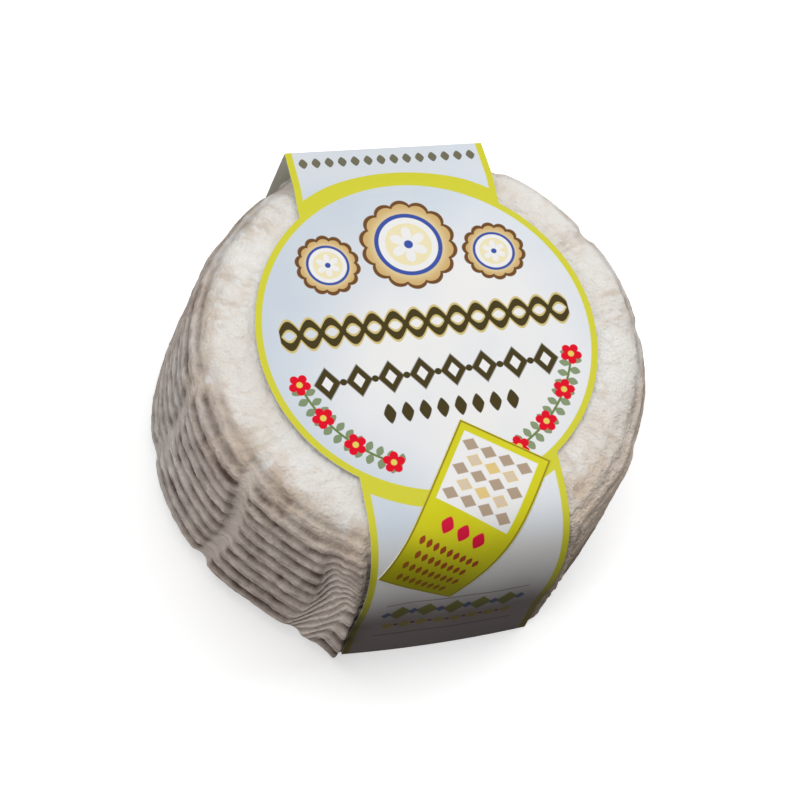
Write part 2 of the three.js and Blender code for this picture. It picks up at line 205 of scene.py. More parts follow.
# The rear crease lies askew, and the rear of the band is wider and leans to one side as it rises
CREASE_SKEW = 0.036
SKEW_FULL_Y = 60
SKEW_FULL_Z = 50
REAR_WIDENING = 1.2
WIDE_UNTIL = 56
WIDENING_GONE = 90
REAR_LEAN = 0.7
LEAN_START_Y = 41
# The front is bowed out towards its foot
FRONT_BOW = 0.9
FRONT_BOW_FULL_Y = 50
FRONT_BOW_SHARPNESS = 4
FRONT_BOW_TOP_Z = 30
# The paper keeps this far off the cheese. Beside it the cheese gives way wholly up to the first distance
# from the paper's edge, and not at all from the second.
PRESS_GAP = 0.25
LEFT_PRESS = (0.5, 3.6)
RIGHT_PRESS = (2.5, 8)
# Slack of the paper over the front wall: where along it, how far, and waves with their height, their turn
# across and along in radians a mm, and their start
SLACK_START = 62
SLACK_LENGTH = 44
SLACK = 0.12
SLACK_WAVES = [(0.22, 0.19, 0, 0.8), (0.12, 0.41, -0.12, 0)]

# Sticker: a rectangle laid askew over the band's front bend, measured on the flat paper
STICKER_WIDTH = 25
STICKER_LENGTH = 47.4
STICKER_ACROSS = -0.1
STICKER_ALONG = 47.8
STICKER_ANGLE = radians(33.8)
STICKER_LIFT = 0.05
STICKER_THICKNESS = 0.2
STICKER_COLUMNS = 40
STICKER_ROWS = 76

# Print: widths and places on the flat paper, and how soft its edges are
EDGE = 0.14
RING_INNER = 42.6
RING_OUTER = 47.2
BORDER_WIDTH = 1.8
# The painted shade on the front panel's foot ends under the base, and the back panel is printed like the
# front without it
FRONT_SHADE_END = 112
FRONT_SHADE_GONE = 150
FRONT_ROWS_ALONG = 86
BACK_ROWS_ALONG = 262

BAKE_MAP = "OFBake"
PRINT_MAP = "print_mm"

# Colours of the print, and of the painted shade
LIME = (0.62, 0.60, 0.045)
OLIVE_BROWN = (0.060, 0.045, 0.012)
GOLD_LINE = (0.62, 0.50, 0.20)
ROSETTE_GOLD = (0.80, 0.72, 0.46)
ROSETTE_SHADE = (0.60, 0.40, 0.16)
ROSETTE_EDGE = (0.16, 0.07, 0.02)
BLOSSOM_RED = (0.72, 0.003, 0.020)
BLOSSOM_YELLOW = (0.75, 0.62, 0.12)
LEAF_GREEN = (0.14, 0.21, 0.055)
BLUE_INK = (0.045, 0.085, 0.36)
WHITE_PAPER = (0.805, 0.80, 0.795)
SKY_PAPER = (0.60, 0.67, 0.755)
DEEP_SKY = (0.47, 0.53, 0.60)
# A painted shade: the front panel darkens towards its foot
WARM_SHADE = (0.085, 0.052, 0.045)

# Rosettes: across and along, and the radius. The rings are shares of it.
ROSETTES = [(0, -28.5, 11.8), (-22.2, -24.5, 7.4), (22.2, -24.5, 7.4)]
ROSETTE_SHADE_FROM = 0.55
BLUE_RING = (0.66, 0.76)
WHITE_RING = (0.52, 0.66)
FLOWER_SHARE = 0.43
EYE_SHARE = 0.1
# A plaited row: its place along, and the length, height and reach across of its waves
PLAIT_ALONG = -6.2
PLAIT_WAVE = 11
PLAIT_HEIGHT = 2.9
PLAIT_REACH = 38.2
# Leafy stems: their radius round the disc's centre, and the middle and half length of each on it
STEM_RADIUS = 37.2
STEM_MIDDLE = 31.6
STEM_REACH = 17
# Beads: the row's centre, pitch and count, the size and roundness of a bead, and the colour
TITLE_BEADS = [
    ((0, PLAIT_ALONG), 5.5, 13, (2.0, 2.6), 1, OLIVE_BROWN),
    ((0, 7.6), 8.2, 8, (7.0, 9.0), 1, OLIVE_BROWN),
    ((0, 7.6), 8.2, 8, (3.0, 4.0), 1, WHITE_PAPER),
    ((0, 7.6), 8.2, 7, (1.8, 1.8), 2, OLIVE_BROWN),
    ((1.5, 17.4), 4.6, 8, (3.2, 5.4), 1.3, OLIVE_BROWN),
    ((0, -55.6), 3.5, 14, (2.4, 3.6), 1.4, (0.16, 0.15, 0.10)),
]
PANEL_BEADS = [
    ((0, -3.5), 7.2, 5, (6.2, 9.0), 1, (0.26, 0.32, 0.03)),
    ((0, -3.5), 7.2, 6, (3.0, 4.2), 1, (0.06, 0.19, 0.42)),
    ((0, 5.5), 4.6, 8, (3.0, 4.0), 1.6, (0.78, 0.66, 0.10)),
    ((0, 5.5), 4.6, 7, (1.3, 1.3), 2, (0.19, 0.015, 0.03)),
]
STICKER_BEADS = [
    *(((-0.3, row), 4.9, 4, (4.5, 3.6), 1, (0.42, 0.32, 0.23)) for row in (-18.6, -11.5, -4.4)),
    *(((-0.3, row), 4.9, 3, (4.5, 3.6), 1, (0.72, 0.54, 0.22)) for row in (-15.05, -7.95)),
    *(((-0.3, row), 9.8, 2, (3.0, 2.4), 2, (0.66, 0.54, 0.40)) for row in (-15.05, -7.95)),
    ((-0.4, 3.2), 4.6, 3, (3.4, 4.6), 1.3, (0.66, 0.012, 0.05)),
    *(((-0.6, row), 2.1, count, (1.5, 2.5), 1.4, (0.36, 0.06, 0.02))
      for row, count in ((9.2, 9), (13.0, 8), (16.8, 9), (20.6, 8))),
]

# Floor: half its side in metres, the grey it shows, the grey it gives back as light, and its glow
FLOOR_HALF = 2.5
FLOOR_SEEN = 0.85
FLOOR_GIVEN = 0.24
FLOOR_GLOW = 0.42
# Lights: name, place, aim and size in metres, and power in watts
LIGHTS = [
    ("overhead", (0.05, 0.30, 0.85), (0, 0, 0.04), (1.3, 0.7), 7.4),
    ("left_softbox", (-0.72, -0.37, 0.45), (0, 0, 0.03), (0.5, 0.6), 3.3),
    ("right_softbox", (0.80, 0.20, 0.50), (0, 0, 0.03), (0.5, 0.6), 3.0),
]
ROOM_COLOUR = (1.0, 0.98, 0.96, 1.0)
ROOM_LIGHT = 0.08


# Numbers and colours that vary over a surface

def operator(operation):
    return lambda field, other: field.calc(operation, other)


class Field:
    """An output socket with arithmetic: each sum or comparison adds a Math node to its tree."""

    def __init__(self, socket):
        self.socket = socket
        self.tree = socket.id_data

    def calc(self, operation, *others):
        node = self.tree.nodes.new("ShaderNodeMath")
        node.operation = operation
        for place, value in zip(node.inputs, (self, *others)):
            feed(place, value)
        return Field(node.outputs[0])

    __add__ = __radd__ = operator("ADD")
    __mul__ = __rmul__ = operator("MULTIPLY")
    __sub__ = operator("SUBTRACT")
    __truediv__ = operator("DIVIDE")
    __pow__ = operator("POWER")
    above = operator("GREATER_THAN")
    union = operator("MAXIMUM")
    common = operator("MINIMUM")

    def __rsub__(self, other):
        return self.calc("MULTIPLY", -1).calc("ADD", other)

    def __abs__(self):
        return self.calc("ABSOLUTE")

    def share_of(self, limit):
        """Its share of a limit, which is never over 1"""
        return (self / limit).common(1)

    def bell(self, half_width):
        """1 at nought, falling away on both sides"""
        squared = (self / half_width) ** 2
        return (squared * -1).calc("EXPONENT")

    def ramp(self, low, high, low_value=0, high_value=1, kind="SMOOTHSTEP"):
        node = self.tree.nodes.new("ShaderNodeMapRange")
        node.interpolation_type = kind
        for place, value in zip(node.inputs, (self, low, high, low_value, high_value)):
            feed(place, value)
        return Field(node.outputs[0])

    def between(self, spans):
        """1 between two spans, over which it rises and falls"""
        rise, fall = spans
        return self.ramp(*rise) * self.ramp(*fall)

    def line(self, low, high, low_value=0, high_value=1):
        return self.ramp(low, high, low_value, high_value, kind="LINEAR")

    def below(self, limit, soft=EDGE):
        """1 under the limit and 0 over it, with a soft edge"""
        return self.ramp(limit + soft, limit - soft)

    def within(self, low, high, soft=EDGE):
        return self.below(high, soft) * self.ramp(low - soft, low + soft)


def feed(place, value):
    """Links a socket or field to a node's input, or sets the input's own value."""
    if isinstance(value, Field):
        value = value.socket
    if isinstance(value, bpy.types.NodeSocket):
        value.id_data.links.new(value, place)
    else:
        place.default_value = value


def add_node(tree, kind, settings=None, inputs=None):
    node = tree.nodes.new(kind)
    for name, value in (settings or {}).items():
        setattr(node, name, value)
    for name, value in (inputs or {}).items():
        feed(node.inputs[name], value)
    return node


def new_group(name, kind, inputs, outputs):
    """A node tree with named sockets. Returns it with its inputs as fields."""
    tree = bpy.data.node_groups.new(name, kind)
    for socket_name, value in inputs.items():
        socket_kind = value if isinstance(value, str) else "NodeSocketFloat"
        socket = tree.interface.new_socket(socket_name, in_out="INPUT", socket_type=socket_kind)
        if not isinstance(value, str):
            socket.default_value = value
    for socket_name, socket_kind in outputs.items():
        tree.interface.new_socket(socket_name, in_out="OUTPUT", socket_type=socket_kind)
    given = tree.nodes.new("NodeGroupInput")
    return tree, {socket_name: Field(given.outputs[socket_name]) for socket_name in inputs}


def put_out(tree, **results):
    end = tree.nodes.new("NodeGroupOutput")
    for name, value in results.items():
        feed(end.inputs[name], value)


def use_group(tree, group, **values):
    """Places a shader node group and returns its outputs by name, with _ for a space in a name."""
    node = tree.nodes.new("ShaderNodeGroup")
    node.node_tree = group
    for name, value in values.items():
        feed(node.inputs[name.replace("_", " ")], value)
    return node.outputs


def combine(tree, x, y, z):
    return add_node(tree, "ShaderNodeCombineXYZ", inputs={"X": x, "Y": y, "Z": z}).outputs[0]


def noise(tree, vector, size, seed, detail=2.0, roughness=0.5):
    """Noise between about -1 and 1 whose lumps are `size` mm across"""
    inputs = {"Vector": vector, "W": seed, "Scale": 1 / size, "Detail": detail, "Roughness": roughness}
    node = add_node(tree, "ShaderNodeTexNoise", {"noise_dimensions": "4D"}, inputs)
    return (Field(node.outputs[0]) - 0.5) * 2


def noises(tree, vector, seed, lumps):
    """Noises added up, from the size of each one's lumps, its height and its step of the seed"""
    return sum(noise(tree, vector, size, seed + step) * height for size, height, step in lumps)


def scaled(tree, vector, factor):
    node = add_node(tree, "ShaderNodeVectorMath", {"operation": "SCALE"}, {"Scale": factor})
    feed(node.inputs[0], vector)
    return node.outputs[0]


def hypotenuse(x, y):
    return (x * x + y * y).calc("SQRT")


# Cheese

def from_pleat(tree, marks, degrees, down):
    """Signed degrees from the nearest pleat, with that pleat's share of depth and its drag"""
    bow = ((down - PLEAT_BOW_START) * (pi / PLEAT_BOW_LENGTH)).calc("SINE") * PLEAT_BOW
    bowed = degrees - bow * down.ramp(*BOW_DOWN)
    turn = bowed.calc("RADIANS")
    on_circle = combine(tree, turn.calc("COSINE"), turn.calc("SINE"), 0.0)
    nearest = add_node(tree, "GeometryNodeSampleNearest", {"domain": "POINT"},
                       {"Geometry": marks, "Sample Position": on_circle}).outputs["Index"]

    def of_mark(name):
        kept = add_node(tree, "GeometryNodeInputNamedAttribute", {"data_type": "FLOAT"}, {"Name": name})
        sample = add_node(tree, "GeometryNodeSampleIndex", {"data_type": "FLOAT", "domain": "POINT"},
                          {"Geometry": marks, "Value": kept.outputs[0], "Index": nearest})
        return Field(sample.outputs[0])

    away = (bowed - of_mark("angle")).calc("WRAP", 180, -180)
    return away, of_mark("depth"), of_mark("drag")


def section_curve(tree, size):
    """The wheel's half section as a curve, from the middle of the top to the middle of the base"""
    points = 700
    line = add_node(tree, "GeometryNodeMeshLine", {"mode": "OFFSET"}, {"Count": points})
    share = Field(add_node(tree, "GeometryNodeInputIndex").outputs[0]) / (points - 1)
    ends = (0, 0.2, 0.5, 0.8, 0.95, 1)
    top, shoulder, wall, foot, base = (share.line(low, high) for low, high in zip(ends, ends[1:]))
    power = (size["Shoulder Squareness"] * 0.5) ** -1
    bend = shoulder * (pi / 2)
    tuck = foot * (pi / 2)
    start_radius = size["Wall Top Radius"] - size["Shoulder Width"]
    shoulder_out = size["Shoulder Width"] * bend.calc("SINE") ** power
    shoulder_down = size["Shoulder Drop"] * (1 - bend.calc("COSINE").union(0) ** power)
    wall_out = (size["Foot Radius"] - size["Wall Top Radius"]) * wall
    belly = size["Wall Belly"] * (wall * pi).calc("SINE")
    foot_in = size["Foot Width"] * (1 - tuck.calc("COSINE"))
    base_in = (size["Foot Radius"] - size["Foot Width"]) * base
    radius = start_radius * top + shoulder_out + wall_out + belly - foot_in - base_in
    wall_height = size["Shoulder Top"] - size["Shoulder Drop"] - size["Base Height"] - size["Foot Rise"]
    dome = size["Top Dome"] * (1 - top ** 2)
    foot_down = size["Foot Rise"] * tuck.calc("SINE")
    height = size["Shoulder Top"] + dome - shoulder_down - wall_height * wall - foot_down
    placed = add_node(tree, "GeometryNodeSetPosition", inputs={
        "Geometry": line.outputs[0], "Position": combine(tree, radius, 0.0, height)})
    return add_node(tree, "GeometryNodeMeshToCurve", inputs={"Mesh": placed.outputs[0]}).outputs[0]


def section_length(tree, curve, size, rows_down):
    """Millimetres along the section for a row share: few rows under the paper, many on the rind"""
    cap_length = 24
    cap_share = 0.04
    base_share = 0.97
    base_margin = 3
    whole = Field(add_node(tree, "GeometryNodeCurveLength", inputs={"Curve": curve}).outputs[0])
    rind_end = whole - (size["Foot Radius"] - size["Foot Width"]) + base_margin
    cap = rows_down.line(0, cap_share) * cap_length
    rind = rows_down.line(cap_share, base_share) * (rind_end - cap_length)
    base = rows_down.line(base_share, 1) * (whole - rind_end)
    return cap + rind + base


def white_edge(tree, size, degrees, point):
    """How far down the white top reaches: ragged, and lower on one side"""
    side = (degrees - WHITE_SIDE_ANGLE).calc("RADIANS").calc("COSINE")
    ragged = noise(tree, point, RAGGED_LUMPS, size["Seed"] + 7, detail=4, roughness=0.6)
    return WHITE_REACH + side * WHITE_REACH_CHANGE + ragged * RAGGED_REACH


def unrolled(tree, degrees, down, squash, layer):
    """A place on the wall laid flat, for a noise. Where squash is small its lumps are long down the wall."""
    return combine(tree, degrees * DEGREE_MM, down * squash, layer)


def ridge_relief(tree, size, down, edge, degrees, away, pleat_depth, drag, flat_point):
    """The valleys' cut and painted shade, the pleats' smooth floors, the valleys passed, where they are
    dragged, and the fine groove along each ridge"""
    faint_side = (degrees - FAINT_SIDE_ANGLE).bell(FAINT_SIDE_HALF_ANGLE)
    calm = 1 - faint_side * FAINT_SIDE_CALM
    turn = degrees.calc("RADIANS")
    wander = sum((turn * count + start).calc("SINE") * share for count, start, share in WANDER_WAVES)
    spread_out = unrolled(tree, degrees, down, squash=0.8, layer=3.0)
    wobble = noises(tree, spread_out, size["Seed"], WOBBLES) * calm
    dragged = away.line(*DRAG_SLOPE) * drag * down.ramp(*DRAG_DOWN)
    shifted = down - size["Ridge Wander"] * wander - wobble + dragged

    # Each pitch is longer than the last, so the count of valleys is the root of a quadratic
    growth = size["Pitch Growth"]
    pitch = size["First Pitch"]
    under_root = pitch * pitch + (shifted - size["First Valley"]) * growth * 4
    valleys_passed = (under_root.union(0).calc("SQRT") - pitch) / (growth * 2)
    wave = (valleys_passed * (2 * pi)).calc("COSINE")
    valley = wave * 0.5 + 0.5

    turned = drag.share_of(MARKED_DRAG)
    in_drag = turned * away.between(DRAG_SIDES) * down.ramp(*TURNED_DOWN)
    level = 1 - in_drag
    floor = away.between(FLOOR_SIDES) * down.ramp(*FLOOR_DOWN) * (1 - turned)
    floor = floor * pleat_depth.share_of(MARKED_DEPTH)
    ridges_in = (down - edge).ramp(*RIDGES_IN)
    patchy = 1 + noise(tree, flat_point, 7, size["Seed"] + 1) * PATCHINESS
    strength = ridges_in * (1 - floor) * patchy * (1 - faint_side * FAINT_SIDE_LOSS)

    deep = down.ramp(*DEEP_DOWN)
    early = (degrees - DEEP_SHOULDER_ANGLE).bell(DEEP_SHOULDER_HALF_ANGLE)
    on_shoulder = size["Shoulder Ridge Depth"] * (early * DEEP_SHOULDER_GAIN + 1)
    depth = on_shoulder * (1 - deep) + size["Wall Ridge Depth"] * deep
    strand_place = unrolled(tree, degrees, down, squash=0.4, layer=9.0)
    strands = noise(tree, strand_place, 1.5, size["Seed"] + 9) * deep * STRAND_HEIGHT * calm
    groove = (0.5 - wave * 0.5) ** STRAND_GROOVE_SHARPNESS * level * strength * calm
    cut = (valley * depth * level + strands) * strength + groove * deep * STRAND_GROOVE_DEPTH
    # The painted shade in the valleys, kept for the rind's colour
    darkness = (SHOULDER_SHADE + early * DEEP_SHOULDER_SHADE + deep * WALL_SHADE).common(1)
    shade = valley * darkness * level * strength * calm
    return cut, shade, floor, valleys_passed, in_drag * ridges_in, groove


def lobe_relief(size, down, degrees, away, pleat_depth):
    """The swell of the lobes, the pleats between them and the bulge on both sides of the band"""
    pleated = down.ramp(*HINT_DOWN) * PLEAT_HINT + down.ramp(PLEAT_START, PLEAT_FULL) * (1 - PLEAT_HINT)
    swell = size["Lobe Swell"] * (abs(away).share_of(LOBE_HALF_ANGLE) * (pi / 2)).calc("SINE")
    for angle, out, half_angle, at_foot in WALL_SWELLS:
        bell = (degrees - angle).bell(half_angle) * out
        swell = swell + bell * down.ramp(SWELL_FADE_START, SWELL_FADE_END, 1, at_foot)
    pleat = away.between(PLEAT_SIDES) * pleat_depth
    return (swell - size["Pleat Depth"] * pleat) * pleated


def rind_wrinkles(tree, size, down, point):
    """Vein-like wrinkles of the mould on the top and shoulder"""
    warp = add_node(tree, "ShaderNodeTexNoise", {"noise_dimensions": "3D"},
                    {"Vector": point, "Scale": 1 / VEIN_WARP, "Detail": 3.0})
    shifted = add_node(tree, "ShaderNodeVectorMath", {"operation": "MULTIPLY_ADD"})
    for place, value in zip(shifted.inputs, (warp.outputs["Color"], (VEIN_WARP,) * 3, point)):
        feed(place, value)
    cells = add_node(tree, "ShaderNodeTexVoronoi", {"feature": "DISTANCE_TO_EDGE"},
                     {"Vector": shifted.outputs[0], "Scale": 1 / VEIN_CELL, "Randomness": 1.0})
    here = noise(tree, point, VEIN_PATCH, size["Seed"] + 3).ramp(*VEIN_PATCH_SPAN)
    vein = Field(cells.outputs["Distance"]).ramp(VEIN_WIDTH, 0.0) * here
    return vein * down.ramp(*VEIN_GONE_DOWN)


def colour_masks(tree, size, degrees, down, away, pleat_depth, edge, point):
    """Where the rind's colour changes: below the white top, on some sides and in streaks, with painted shadow
    left of each pleat and painted light on one side
    """
    marked = pleat_depth.share_of(MARKED_DEPTH)
    far_side = (degrees - FAR_SIDE_ANGLE).calc("RADIANS").calc("COSINE").ramp(*FAR_SIDE_SPAN)
    tongue = away.bell(TONGUE_HALF_ANGLE) * marked
    streak_place = unrolled(tree, degrees, down, squash=0.3, layer=4.0)
    radial = noise(tree, streak_place, 2.0, size["Seed"] + 10, detail=3)
    patches = noise(tree, point, 14, size["Seed"] + 11).ramp(-0.15, 0.15)
    masks = {
        "past_white": down - edge - far_side * FAR_SIDE_REACH - tongue * TONGUE_REACH,
        # Painted shadow in the fold left of each pleat
        "fold": away.between(FOLD_SIDES) * down.between(FOLD_DOWN) * marked,
        "streak": radial.ramp(-0.05, 0.22) * patches * down.between(STREAK_DOWN),
    }
    for name, (angle, half_angle, span) in COLOURED_SIDES.items():
        masks[name] = (degrees - angle).bell(half_angle) * down.ramp(*span)
    masks["ruddy"] *= down.ramp(*RUDDY_GONE_DOWN)
    return masks


def store(tree, geometry, name, value, data_type="FLOAT", domain="POINT"):
    return add_node(tree, "GeometryNodeStoreNamedAttribute", {"data_type": data_type, "domain": domain},
                    {"Geometry": geometry, "Name": name, "Value": value}).outputs[0]


def wheel_tree():
    """Geometry nodes that turn the pleat marks into the whole wheel with its relief"""
    inputs = {"Pleat Marks": "NodeSocketGeometry", "Rind": "NodeSocketMaterial", **WHEEL_SIZES}
    tree, size = new_group("Pleated wheel", "GeometryNodeTree", inputs, {"Wheel": "NodeSocketGeometry"})

    grid = add_node(tree, "GeometryNodeMeshGrid", inputs={
        "Size X": 1.0, "Size Y": 1.0, "Vertices X": WHEEL_COLUMNS + 1, "Vertices Y": WHEEL_ROWS + 1})
    place = add_node(tree, "ShaderNodeSeparateXYZ")
    feed(place.inputs[0], add_node(tree, "GeometryNodeInputPosition").outputs[0])
    degrees = (Field(place.outputs["X"]) + 0.5) * 360
    rows_down = 0.5 - Field(place.outputs["Y"])

    curve = section_curve(tree, size)
    length = section_length(tree, curve, size, rows_down)
    down = length - (size["Wall Top Radius"] - size["Shoulder Width"])
    sample = add_node(tree, "GeometryNodeSampleCurve", {"mode": "LENGTH", "use_all_curves": True},
                      {"Curves": curve, "Length": length})
    at = add_node(tree, "ShaderNodeSeparateXYZ", inputs={"Vector": sample.outputs["Position"]})
    tangent = add_node(tree, "ShaderNodeSeparateXYZ", inputs={"Vector": sample.outputs["Tangent"]})
    radius, height = Field(at.outputs["X"]), Field(at.outputs["Z"])
    normal_out, normal_up = 0 - Field(tangent.outputs["Z"]), Field(tangent.outputs["X"])

    turn = degrees.calc("RADIANS")
    across = ((degrees - SQUEEZE_ANGLE).calc("RADIANS") * 2).calc("COSINE")
    squeezed = size["Squeeze"] * (across * 0.5 + 0.5) ** SQUEEZE_SHARPNESS
    narrowed = 1 - squeezed / size["Foot Radius"]

    def around(distance, z):
        distance = distance * narrowed
        return combine(tree, distance * turn.calc("COSINE"), distance * turn.calc("SINE"), z)

    plain_point = around(radius, height)
    marks = size["Pleat Marks"].socket
    away, pleat_depth, drag = from_pleat(tree, marks, degrees, down)
    edge = white_edge(tree, size, degrees, plain_point)
    cut, valley, floor, passed, dragged, groove = ridge_relief(
        tree, size, down, edge, degrees, away, pleat_depth, drag, plain_point)
    lobes = lobe_relief(size, down, degrees, away, pleat_depth)
    vein = rind_wrinkles(tree, size, down, plain_point)
    fine_lumps = noise(tree, plain_point, FINE_LUMPS, size["Seed"] + 6) * down.ramp(*FINE_LUMP_HEIGHTS)
    lumps = noises(tree, plain_point, size["Seed"], LUMPS) + fine_lumps
    relief = lobes - cut - vein * VEIN_HEIGHT + lumps

    foot_top = size["Base Height"] + size["Foot Rise"]
    below_foot = foot_top.above(height)
    relief = relief * (1 - below_foot + below_foot * normal_out)
    point = around(radius + normal_out * relief, (height + normal_up * relief).union(size["Base Height"]))

    geometry = store(tree, grid.outputs["Mesh"], BAKE_MAP, grid.outputs["UV Map"], "FLOAT2", "CORNER")
    # The valley mask carries the painted shade of the valleys into the rind's colour
    masks = {"valley": valley, "floor": floor, "vein": vein, "down": down, "passed": passed,
             "dragged": dragged, "groove": groove,
             **colour_masks(tree, size, degrees, down, away, pleat_depth, edge, plain_point)}
    for name, value in masks.items():
        geometry = store(tree, geometry, name, value)
    steps = {
        "GeometryNodeSetPosition": {"Position": scaled(tree, point, MM)},
        "GeometryNodeMergeByDistance": {"Distance": MERGE_DISTANCE * MM},
        "GeometryNodeSetShadeSmooth": {},
        "GeometryNodeRealizeInstances": {},
        "GeometryNodeSetMaterial": {"Material": size["Rind"]},
    }
    for kind, given in steps.items():
        geometry = add_node(tree, kind, inputs={"Geometry": geometry, **given}).outputs[0]
    put_out(tree, Wheel=geometry)
    return tree


def make_cheese(material):
    """The wheel: marks on a unit circle, one at each pleat, turned into the rind by the tree"""
    angles = [radians(mark[0]) for mark in PLEAT_MARKS]
    mesh = bpy.data.meshes.new("pleat_marks")
    mesh.from_pydata([(cos(angle), sin(angle), 0) for angle in angles], [], [])
    for column, name in enumerate(("angle", "depth", "drag")):
        kept = mesh.attributes.new(name, "FLOAT", "POINT")
        kept.data.foreach_set("value", [float(mark[column]) for mark in PLEAT_MARKS])
    piece = bpy.data.objects.new("goat_cheese", mesh)
    bpy.context.scene.collection.objects.link(piece)
    tree = wheel_tree()
    modifier = piece.modifiers.new("wheel", "NODES")
    modifier.node_group = tree
    for item in tree.interface.items_tree:
        if item.in_out == "INPUT" and item.name in WHEEL_SIZES:
            modifier[item.identifier] = float(WHEEL_SIZES[item.name])
        elif item.in_out == "INPUT" and item.name == "Rind":
            modifier[item.identifier] = material
    graph = bpy.context.evaluated_depsgraph_get()
    wheel = bpy.data.meshes.new_from_object(piece.evaluated_get(graph), depsgraph=graph)
    piece.modifiers.clear()
    piece.data = wheel
    bpy.data.meshes.remove(mesh)
    press_under_band(wheel)
    return piece


# Band

def band_top_height(y):
    return BAND_TOP_Z + BAND_DOME * (1 - (y / WHEEL_SIZES["Wall Top Radius"]) ** 2)


def front_side_view():
    """The band's outer face from the side, as (y, z), from the back crease to the front foot"""
    bend_start = BEND_LENGTH - BAND_FRONT_Y
    flat = np.linspace(LIFT_START_Y, bend_start, TOP_POINTS)
    turn = np.linspace(0, pi / 2, BEND_POINTS)[1:]
    power = 2 / BEND_SQUARENESS
    bend_y = bend_start - BEND_LENGTH * np.sin(turn) ** power
    bend_z = band_top_height(bend_start) - BEND_DROP * (1 - np.cos(turn).clip(0) ** power)
    y = np.concatenate([[CREASE_Y], flat, bend_y, [-BAND_FRONT_FOOT_Y]])
    z = np.concatenate([[CREASE_Z], band_top_height(flat), bend_z, [0]])
    return y, z


def lengths_along(y, z):
    steps = np.hypot(np.diff(y), np.diff(z))
    return np.concatenate([[0], np.cumsum(steps)])


def closed_side_view():
    """The whole loop as (y, z, along), with the middle of the top at 0"""
    y, z = front_side_view()
    y = np.concatenate([y, [BAND_BACK_FOOT_Y, CREASE_Y]])
    z = np.concatenate([z, [0, CREASE_Z]])
    along = lengths_along(y, z)
    on_top = slice(1, TOP_POINTS + 1)
    return y, z, along - np.interp(0, -y[on_top], along[on_top])


# The rear crease, where the loop starts and ends
LOOP_START, LOOP_END = closed_side_view()[2][[0, -1]]


def half_width_at(along):
    reach = np.sqrt((DISC_RADIUS ** 2 - (along - DISC_CENTRE) ** 2).clip(0))
    from_crease = np.minimum(along - LOOP_START, LOOP_END - along)
    widened = REAR_WIDENING * ((WIDENING_GONE - from_crease) / (WIDENING_GONE - WIDE_UNTIL)).clip(0, 1)
    return np.maximum(BAND_WIDTH / 2 + widened, reach)


def skew_at(x, y, z):
    """How far a point of the band moves forwards: askew at the back crease, bowed out at the front foot"""
    askew = CREASE_SKEW * x * (y / SKEW_FULL_Y).clip(0, 1) * (z / SKEW_FULL_Z).clip(0, 1)
    across = (1 - (2 * x / BAND_WIDTH) ** 2).clip(0)
    low_down = (1 - z / FRONT_BOW_TOP_Z).clip(0, 1)
    return askew + FRONT_BOW * across * (-y / FRONT_BOW_FULL_Y).clip(0, 1) ** FRONT_BOW_SHARPNESS * low_down


def lean_at(y, z):
    """How far a point at the band's rear moves sideways"""
    return REAR_LEAN * ((y - LEAN_START_Y) / (CREASE_Y - LEAN_START_Y)).clip(0, 1) * (z / CREASE_Z).clip(0, 1)


def place_band(x, y, z):
    """From the band's own frame to the object's: leaned, skewed and bowed, then turned and shifted"""
    x, y = x + lean_at(y, z), y - skew_at(x, y, z)
    return np.stack([
        x * cos(BAND_TURN) - y * sin(BAND_TURN) + BAND_SHIFT,
        x * sin(BAND_TURN) + y * cos(BAND_TURN),
        z,
    ], -1)


def to_band_frame(points):
    x = points[:, 0] - BAND_SHIFT
    y = points[:, 1]
    z = points[:, 2]
    across = x * cos(BAND_TURN) + y * sin(BAND_TURN)
    depth = -x * sin(BAND_TURN) + y * cos(BAND_TURN)
    across = across - lean_at(depth, z)
    return across, depth + skew_at(across, depth, z), z


def press_under_band(mesh):
    """Moves the rind inwards wherever it would reach the paper, easing off beside it"""
    y, z, along = closed_side_view()
    # Every fourth point is near enough, with all those at the creases
    corners = np.unique(np.concatenate([along[::4], along[-4:], [along[0], along[1]]]))
    y, z = np.interp(corners, along, y), np.interp(corners, along, z)
    points = np.empty(len(mesh.vertices) * 3)
    mesh.vertices.foreach_get("co", points)
    points = points.reshape(-1, 3) / MM
    across, depth, height = to_band_frame(points)
    best = np.full(len(points), np.inf)
    excess = np.zeros(len(points))
    push = np.zeros((len(points), 2))
    half_width = np.zeros(len(points))
    for i in range(len(corners) - 1):
        edge = np.array([y[i + 1] - y[i], z[i + 1] - z[i]])
        span = edge @ edge
        share = (((depth - y[i]) * edge[0] + (height - z[i]) * edge[1]) / span).clip(0, 1)
        off_y = depth - y[i] - share * edge[0]
        off_z = height - z[i] - share * edge[1]
        normal = np.array([edge[1], -edge[0]]) / np.sqrt(span)
        distance = np.hypot(off_y, off_z)
        nearer = distance < best
        best[nearer] = distance[nearer]
        side = np.sign(off_y * normal[0] + off_z * normal[1])
        excess[nearer] = (distance * side)[nearer]
        push[nearer] = normal
        half_width[nearer] = half_width_at(corners[i] + share * (corners[i + 1] - corners[i]))[nearer]
    excess = (excess + PAPER_THICKNESS + PRESS_GAP).clip(0)
    full, fade = (np.where(across > 0, right, left) for left, right in zip(LEFT_PRESS, RIGHT_PRESS))
    beside = ((np.abs(across) - half_width - full) / (fade - full)).clip(0, 1)
    excess *= 1 - beside * beside * (3 - 2 * beside)
    pressed = place_band(across, depth - push[:, 0] * excess, height - push[:, 1] * excess)
    moved = excess > 0
    points[moved] = pressed[moved]
    mesh.vertices.foreach_set("co", (points * MM).ravel())
    mesh.update()


